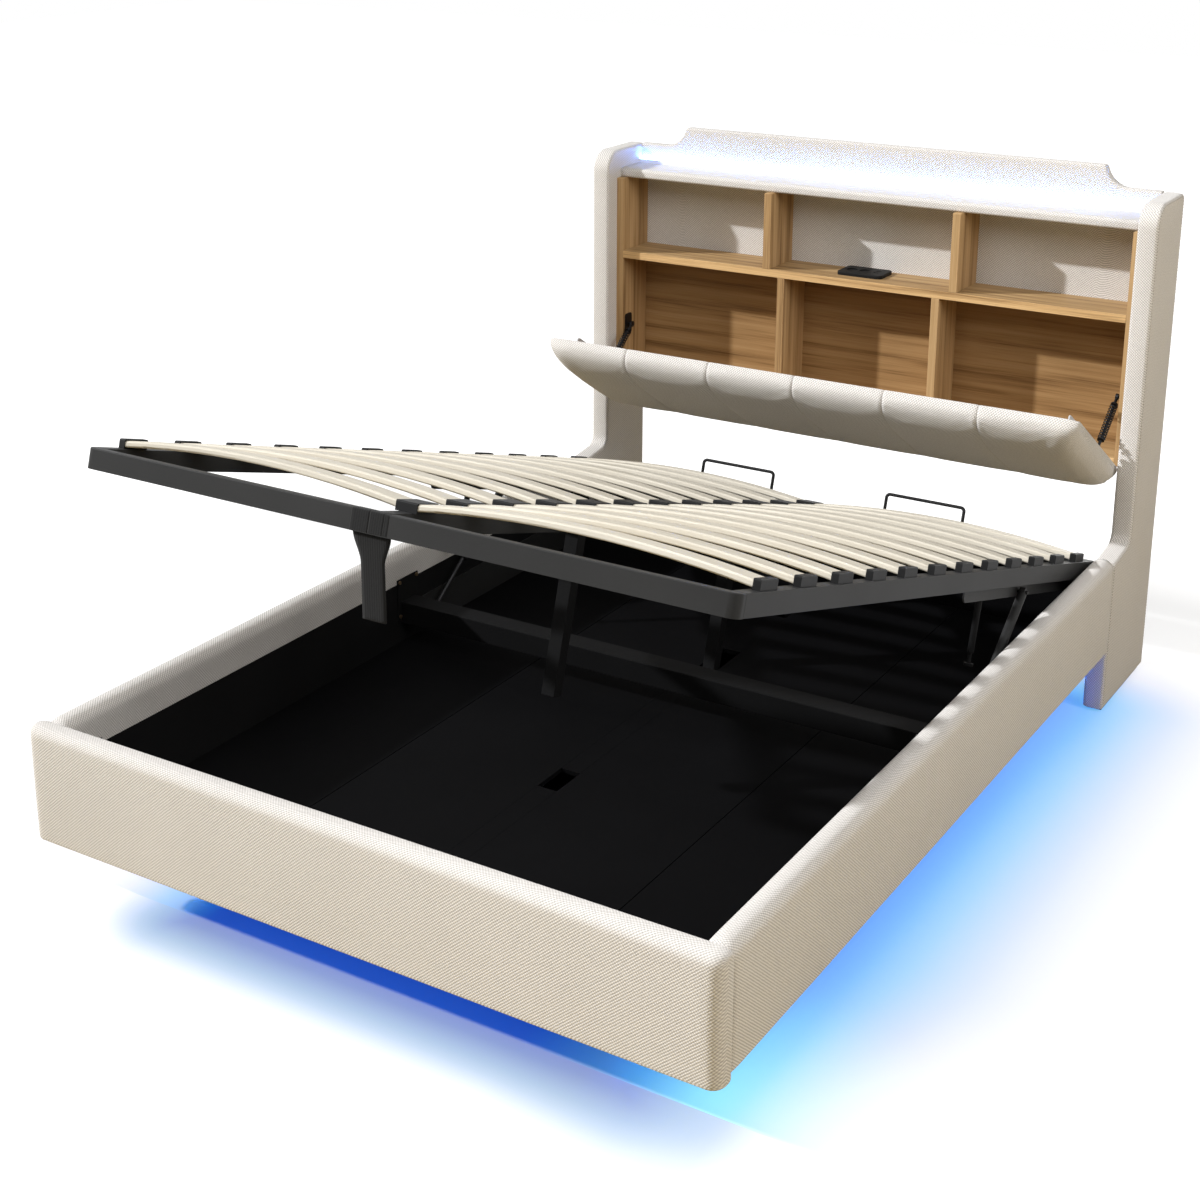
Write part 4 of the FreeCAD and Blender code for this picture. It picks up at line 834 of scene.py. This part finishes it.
# strip of even thickness along a line of (y, z, half width), with its own place across the bed
def ribbon(line, middle, thick, shift, soft=True):
    across = spread(-1, 1, 9)
    points, faces, uvs = [], [], []
    run = 0.0
    for i, (y, z, half) in enumerate(line):
        a, b = line[max(0, i - 1)], line[min(len(line) - 1, i + 1)]
        tangent = Vector((b[0] - a[0], b[1] - a[1])).normalized()
        normal = Vector((tangent.y, -tangent.x))
        if i:
            run += math.hypot(y - line[i - 1][0], z - line[i - 1][1])
        for layer in (0, 1):
            for f in across:
                edge = 1 - 0.35 * abs(f) ** 8 if soft else 1  # a soft strip thins at its edges
                off = shift + (layer - 0.5) * thick * edge
                points.append(liftPoint(middle + f * half, y + normal.x * off, z + normal.y * off))
                uvs.append((middle + f * half, run))
    size = 2 * len(across)
    n = len(across)
    ring = list(range(n)) + list(range(size - 1, n - 1, -1))
    for i in range(len(line) - 1):
        for k in range(size):
            p, q = ring[k], ring[(k + 1) % size]
            faces.append((i * size + p, i * size + q, (i + 1) * size + q, (i + 1) * size + p))
    faces.append(tuple(ring))
    faces.append(tuple((len(line) - 1) * size + k for k in ring))
    return points, faces, uvs


def joined(name, strips):
    points, faces, uvs = [], [], []
    for p, f, u in strips:
        start = len(points)
        points += p
        faces += [tuple(i + start for i in face) for face in f]
        uvs += u
    piece = newPiece(name, points, faces, uvs)
    outward(piece)
    return piece


loopLine, tailLine = makeStrap(strapSize)
left, right = strapSize["middle"] - strapSize["wrap"], strapSize["middle"] + strapSize["wrap"]
slit = strapSize["slit"]
tubeBack = -strapSize["reach"] + strapSize["tube"][0]
openLine = [(y, z) for y, z in loopLine if y < tubeBack]  # the beam passes through the strap's back
turnAt = max(range(1, len(openLine)), key=lambda i: math.dist(openLine[i - 1], openLine[i]))
openLine = openLine[turnAt:] + openLine[:turnAt]
strips = []
for line, a, b in ((loopLine, left, -slit), (loopLine, slit, right), (openLine, -slit, slit)):
    strip = [(y, z, (b - a) / 2) for y, z in line]
    strips.append(ribbon(strip, (a + b) / 2, strapSize["thick"], -strapSize["thick"] / 2, False))
strapWrap = joined("strapWrap", strips)
strapTail = joined("strapTail", [ribbon(tailLine, strapSize["middle"], strapSize["thick"] * 2, 0)])
for piece in (strapWrap, strapTail):
    piece.data.materials.append(strapCloth)
    trim(piece, "lift_frame")
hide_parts("pull_strap")
print("strap made")


# stitches along a path, made by a node tree: small thread capsules set at an even pitch

def stitchTree(material):
    tree = bpy.data.node_groups.new("stitchRow", "GeometryNodeTree")
    face = tree.interface
    face.new_socket("Path", in_out="INPUT", socket_type="NodeSocketGeometry")
    sockets = {}
    for word, value in (("Pitch", 0.006), ("Length", 0.004), ("Thread", 0.0007)):
        socket = face.new_socket(word, in_out="INPUT", socket_type="NodeSocketFloat")
        socket.default_value = value
        sockets[word] = socket.identifier
    face.new_socket("Stitches", in_out="OUTPUT", socket_type="NodeSocketGeometry")
    make = tree.nodes.new
    link = tree.links.new
    source, target = make("NodeGroupInput"), make("NodeGroupOutput")
    curve = make("GeometryNodeMeshToCurve")
    link(source.outputs["Path"], curve.inputs["Mesh"])
    spots = make("GeometryNodeCurveToPoints")
    spots.mode = "LENGTH"
    link(curve.outputs["Curve"], spots.inputs["Curve"])
    link(source.outputs["Pitch"], spots.inputs["Length"])
    capsule = make("GeometryNodeMeshIcoSphere")
    capsule.inputs["Subdivisions"].default_value = 1
    capsule.inputs["Radius"].default_value = 1.0
    stretch = make("ShaderNodeCombineXYZ")
    half = make("ShaderNodeMath")
    half.operation = "MULTIPLY"
    half.inputs[1].default_value = 0.5
    link(source.outputs["Length"], half.inputs[0])
    link(source.outputs["Thread"], stretch.inputs["X"])
    link(source.outputs["Thread"], stretch.inputs["Y"])
    link(half.outputs[0], stretch.inputs["Z"])
    place = make("GeometryNodeInstanceOnPoints")
    link(spots.outputs["Points"], place.inputs["Points"])
    link(capsule.outputs["Mesh"], place.inputs["Instance"])
    link(spots.outputs["Rotation"], place.inputs["Rotation"])
    link(stretch.outputs[0], place.inputs["Scale"])
    real = make("GeometryNodeRealizeInstances")
    link(place.outputs["Instances"], real.inputs[0])
    paint = make("GeometryNodeSetMaterial")
    paint.inputs["Material"].default_value = material
    link(real.outputs[0], paint.inputs["Geometry"])
    link(paint.outputs[0], target.inputs["Stitches"])
    return tree, sockets


def stitched(name, paths, tree, sockets, values):
    points, edges = [], []
    for path in paths:
        start = len(points)
        points += path
        edges += [(start + i, start + i + 1) for i in range(len(path) - 1)]
    mesh = bpy.data.meshes.new(name + "Path")
    mesh.from_pydata(points, edges, [])
    holder = bpy.data.objects.new(name + "Path", mesh)
    scene.collection.objects.link(holder)
    row = holder.modifiers.new("stitches", "NODES")
    row.node_group = tree
    for word, value in values.items():
        row[sockets[word]] = value
    shown = holder.evaluated_get(bpy.context.evaluated_depsgraph_get())
    made = bpy.data.meshes.new_from_object(shown)
    bpy.data.objects.remove(holder)
    piece = bpy.data.objects.new(name, made)
    made.name = name
    made.shade_smooth()
    scene.collection.objects.link(piece)
    return piece


seamTree, seamSockets = stitchTree(threadDark)
creamTree, creamSockets = stitchTree(threadCream)
wingStitch = {"Pitch": 0.0075, "Length": 0.0050, "Thread": 0.0008}
wingRows = {"from": 0.02, "inner": (0.0012, 0.0042), "outer": (-0.0004, 0.0050)}  # off the side, off the edge
wingPath = wingOutline(wingSize)
wingNormals = outlineNormals(wingPath)
for side, sign in (("left", -1), ("right", 1)):
    paths = []
    for face in ("inner", "outer"):
        off, inset = wingRows[face]
        line = [p - n * inset for p, n in zip(wingPath, wingNormals)]
        paths.append([(sign * (wingSize[face] + off), p.x, p.y) for p in line if p.y > wingRows["from"]])
    row = stitched("wingStitches_" + side, paths, seamTree, seamSockets, wingStitch)
    trim(row, "bed_base")
flapStitch = {"Pitch": 0.008, "Length": 0.0055, "Thread": 0.0009}
flapRows = {"start": 0.004, "proud": 0.0002}
flapPaths = []
for place in seamPlaces(padSize):
    loop = padLoop(padSize, place)
    front = [p for p in loop if p[0] < padSize["boardBack"] - flapRows["start"]]
    flapPaths.append([flapPoint(place, y - flapRows["proud"], z) for y, z in front])
flapRow = stitched("flapStitches", flapPaths, creamTree, creamSockets, flapStitch)
trim(flapRow, "flap")
print("stitches set")

# stage: floor, light and camera
# painted light on the floor: the blue glow of the under-bed strip is painted round the bed as emission, with
# a cyan glow at the right front corner, painted key light outside the foot's shadow line, and painted white
# that grows away from the bed, so the floor near the bed stays darker
glowSize = {"side": 0.620, "foot": -1.040, "head": 0.84, "headPace": 1.5, "tuck": 0.14, "tuckFrom": -0.40,
            "tuckTo": -1.00, "steeper": 1.1, "rightFrom": 0.30, "rightTo": 0.70, "rightShare": 0.35,
            "inside": 0.50, "reach": 1.80, "footShare": 0.58, "footFrom": 0.66, "footTo": 0.46, "seen": 0.35,
            "bounce": (0.43, 0.32, 0.13), "plinth": (0.42, -0.93, 0.80), "shadeLine": -1.006, "sunlit": 0.86,
            "wash": 0.32, "corner": (0.66, -0.96), "cornerReach": 0.38, "cornerFade": 1.3,
            "cornerPaintedGlow": (0.05, 0.30, 0.18),
            # colours of the painted blue glow, by distance from the bed
            "stops": [(-0.50, (0.0, 0.0, 0.0)), (-0.34, (0.006, 0.09, 0.70)), (-0.10, (0.008, 0.11, 0.80)),
                      (0.0, (0.010, 0.19, 0.72)), (0.10, (0.012, 0.30, 0.68)), (0.16, (0.015, 0.29, 0.62)),
                      (0.22, (0.018, 0.20, 0.47)), (0.28, (0.014, 0.11, 0.31)), (0.34, (0.008, 0.05, 0.17)),
                      (0.40, (0.0, 0.02, 0.09)), (0.50, (0.0, 0.0, 0.01)), (0.60, (0.0, 0.0, 0.0))],
            # painted light: white emission that grows with distance from the bed, so the floor near the bed
            # stays darker; its dip past 0.56 m leaves the head's shadow grey
            "paintedWhite": [(-0.02, 0.0), (0.10, 0.10), (0.16, 0.18), (0.22, 0.32), (0.28, 0.46), (0.34, 0.60),
                     (0.40, 0.70), (0.46, 0.77), (0.56, 0.82), (0.72, 0.74), (1.10, 0.70), (1.60, 1.0)]}
floorMaterial, floorTree, floorShader = newMaterial("paleFloor", (0.9, 0.9, 0.9), 0.8,
                                                    Specular_IOR_Level=0.05)
floorSize = 14
floorPiece = newPiece("floor", [(-floorSize, -floorSize, 0), (floorSize, -floorSize, 0),
                                (floorSize, floorSize, 0), (-floorSize, floorSize, 0)], [(0, 1, 2, 3)])
floorPiece.data.materials.append(floorMaterial)


def seenRays(tree):  # rays that meet the background as the camera does
    rays = addNode(tree, "LightPath").outputs
    seen = mathNode(tree, "MAXIMUM", rays["Is Camera Ray"], rays["Is Glossy Ray"])
    return mathNode(tree, "MAXIMUM", seen, rays["Is Transmission Ray"])


def paintFloor(s, tree, shader):
    def calc(operation, first, second=None):
        return mathNode(tree, operation, first, second)

    def square(value):
        return calc("POWER", value, 2.0)

    def stops(rows):  # distances from the glow's inner edge, as places along a ramp
        tones = [(tone,) * 3 if isinstance(tone, float) else tone for at, tone in rows]
        return [((at + s["inside"]) / run, tone) for (at, _), tone in zip(rows, tones)]

    run = s["inside"] + s["reach"]
    x, y, _ = split(tree, addNode(tree, "TexCoord").outputs["Object"])
    shown = seenRays(tree)
    footward = ranged(tree, y, s["tuckFrom"], s["tuckTo"], way="SMOOTHSTEP")
    leftward = ranged(tree, x, s["rightFrom"], s["rightTo"], 1.0, s["rightShare"])
    footward = calc("MULTIPLY", footward, leftward)
    fromMiddle = calc("ABSOLUTE", x)
    besideX = weighted(tree, [(footward, s["tuck"])], calc("SUBTRACT", fromMiddle, s["side"]))
    besideHead = calc("MULTIPLY", calc("SUBTRACT", y, s["head"]), s["headPace"])
    besideY = calc("MAXIMUM", calc("SUBTRACT", s["foot"], y), besideHead)
    past = [calc("MAXIMUM", beside, 0.0) for beside in (besideX, besideY)]
    away = calc("SQRT", calc("ADD", square(past[0]), square(past[1])))
    away = calc("ADD", away, calc("MINIMUM", calc("MAXIMUM", besideX, besideY), 0.0))
    away = calc("MULTIPLY", away, weighted(tree, [(footward, s["steeper"])], 1.0))
    along = calc("DIVIDE", calc("ADD", away, s["inside"]), run)

    tone = mixed(tree, shown, s["bounce"], [s["seen"]] * 3)
    tree.links.new(tone, shader.inputs["Base Color"])

    plinthSide, plinthFoot, plinthHead = s["plinth"]  # the painted glow is left out inside the plinth, where no light gets
    outside = calc("MAXIMUM", calc("SUBTRACT", fromMiddle, plinthSide), calc("SUBTRACT", plinthFoot, y))
    outside = calc("MAXIMUM", outside, calc("SUBTRACT", y, plinthHead))
    inShade = calc("GREATER_THAN", y, s["shadeLine"])  # the edge of the foot's shadow: outside it the painted glow is weaker and painted key light is added as white
    # painted blue glow: full inside the foot's shadow, weaker where the key light falls
    blue = ranged(tree, fromMiddle, s["footFrom"], s["footTo"], 1.0, s["footShare"])
    blue = calc("MINIMUM", blue, calc("ADD", inShade, s["footShare"]))
    blue = calc("MULTIPLY", blue, calc("GREATER_THAN", outside, 0.0))
    blue = calc("MULTIPLY", blue, weighted(tree, [(inShade, 1 - s["sunlit"])], s["sunlit"]))

    # painted cyan glow round the right front corner, inside the foot's shadow
    cornerX, cornerY = s["corner"]
    fromCorner = calc("ADD", square(calc("SUBTRACT", x, cornerX)), square(calc("SUBTRACT", y, cornerY)))
    fromCorner = calc("DIVIDE", calc("SQRT", fromCorner), s["cornerReach"])
    cyan = calc("POWER", calc("MAXIMUM", calc("SUBTRACT", 1.0, fromCorner), 0.0), s["cornerFade"])
    cyan = calc("MULTIPLY", cyan, inShade)
    # painted key light: more white emission outside the foot's shadow line
    white = weighted(tree, [(calc("SUBTRACT", 1.0, inShade), s["wash"])], 1.0)

    layers = shader.outputs[0]
    for colour, strength in ((ramp(tree, along, stops(s["stops"])), blue), (s["cornerPaintedGlow"], cyan),
                             (ramp(tree, along, stops(s["paintedWhite"])), white)):
        glow = addNode(tree, "Emission")
        if isinstance(colour, tuple):
            glow.inputs["Color"].default_value = (*colour, 1)
        else:
            tree.links.new(colour, glow.inputs["Color"])
        tree.links.new(calc("MULTIPLY", strength, shown), glow.inputs["Strength"])
        both = addNode(tree, "AddShader")
        tree.links.new(layers, both.inputs[0])
        tree.links.new(glow.outputs[0], both.inputs[1])
        layers = both.outputs[0]
    tree.links.new(layers, tree.nodes["Material Output"].inputs["Surface"])


paintFloor(glowSize, floorTree, floorShader)

sky = {"level": 0.045, "tint": (1.0, 0.82, 0.50), "seenTint": (1.0, 1.0, 1.0)}
world = bpy.data.worlds.new("studio")
scene.world = world
world.use_nodes = True
worldTree = world.node_tree
back = worldTree.nodes["Background"]
skySeen = seenRays(worldTree)
worldTree.links.new(mixed(worldTree, skySeen, sky["tint"], sky["seenTint"]), back.inputs["Color"])
worldTree.links.new(weighted(worldTree, [(skySeen, 1 - sky["level"])], sky["level"]), back.inputs["Strength"])

lamps = {
    "keyLamp": {"kind": "SUN", "place": (-8.3, -3.8, 6.5), "aim": (0, 1.0, 1.1), "power": 4.3,
                "colour": (0.985, 1.0, 1.02), "angle": 1.6},
    "topLamp": {"kind": "AREA", "place": (0.2, -2.2, 4.0), "aim": (0, -0.4, 0.4), "power": 108,
                "colour": (1.0, 0.99, 0.97), "size": 3.6, "spread": 180},
    "fillLamp": {"kind": "AREA", "place": (4.6, -0.6, 3.0), "aim": (0.5, -0.1, 0.4), "power": 130,
                 "colour": (1.0, 0.985, 0.965), "size": 2.6, "spread": 180},
    "backLamp": {"kind": "AREA", "place": (0.5, 5.2, 1.3), "aim": (0, 1.14, 0.66), "power": 12,
                 "colour": (1.0, 0.985, 0.96), "size": 1.6, "spread": 60},
}
for name, lamp in lamps.items():
    light = bpy.data.lights.new(name, lamp["kind"])
    light.energy = lamp["power"]
    light.color = lamp["colour"]
    if lamp["kind"] == "SUN":
        light.angle = math.radians(lamp["angle"])
    else:
        light.shape = "SQUARE"
        light.size = lamp["size"]
        light.spread = math.radians(lamp["spread"])
    holder = bpy.data.objects.new(name, light)
    holder.location = lamp["place"]
    holder.rotation_euler = (Vector(lamp["aim"]) - holder.location).to_track_quat("-Z", "Y").to_euler()
    scene.collection.objects.link(holder)

view = {"turn": 33.005, "rise": 17.227, "roll": -0.368, "sensor": 36, "lens": 58.5605,
        "shift": (0.0524, -0.150), "place": (1.923335, -3.448689, 2.047346)}
camData = bpy.data.cameras.new("photoView")
camData.sensor_width = view["sensor"]
camData.lens = view["lens"]
camData.shift_x, camData.shift_y = view["shift"]
camera = bpy.data.objects.new("photoView", camData)
scene.collection.objects.link(camera)
turn, rise, roll = (math.radians(view[k]) for k in ("turn", "rise", "roll"))
backward = Vector((math.sin(turn) * math.cos(rise), -math.cos(turn) * math.cos(rise), math.sin(rise)))
rightward = Vector((math.cos(turn), math.sin(turn), 0))
upward = backward.cross(rightward)
tiltedRight = rightward * math.cos(roll) + upward * math.sin(roll)
tiltedUp = upward * math.cos(roll) - rightward * math.sin(roll)
facingPhoto = Matrix((tiltedRight, tiltedUp, backward)).transposed().to_4x4()
camera.matrix_world = Matrix.Translation(view["place"]) @ facingPhoto
scene.camera = camera
scene.view_settings.view_transform = "Standard"
print("stage set")
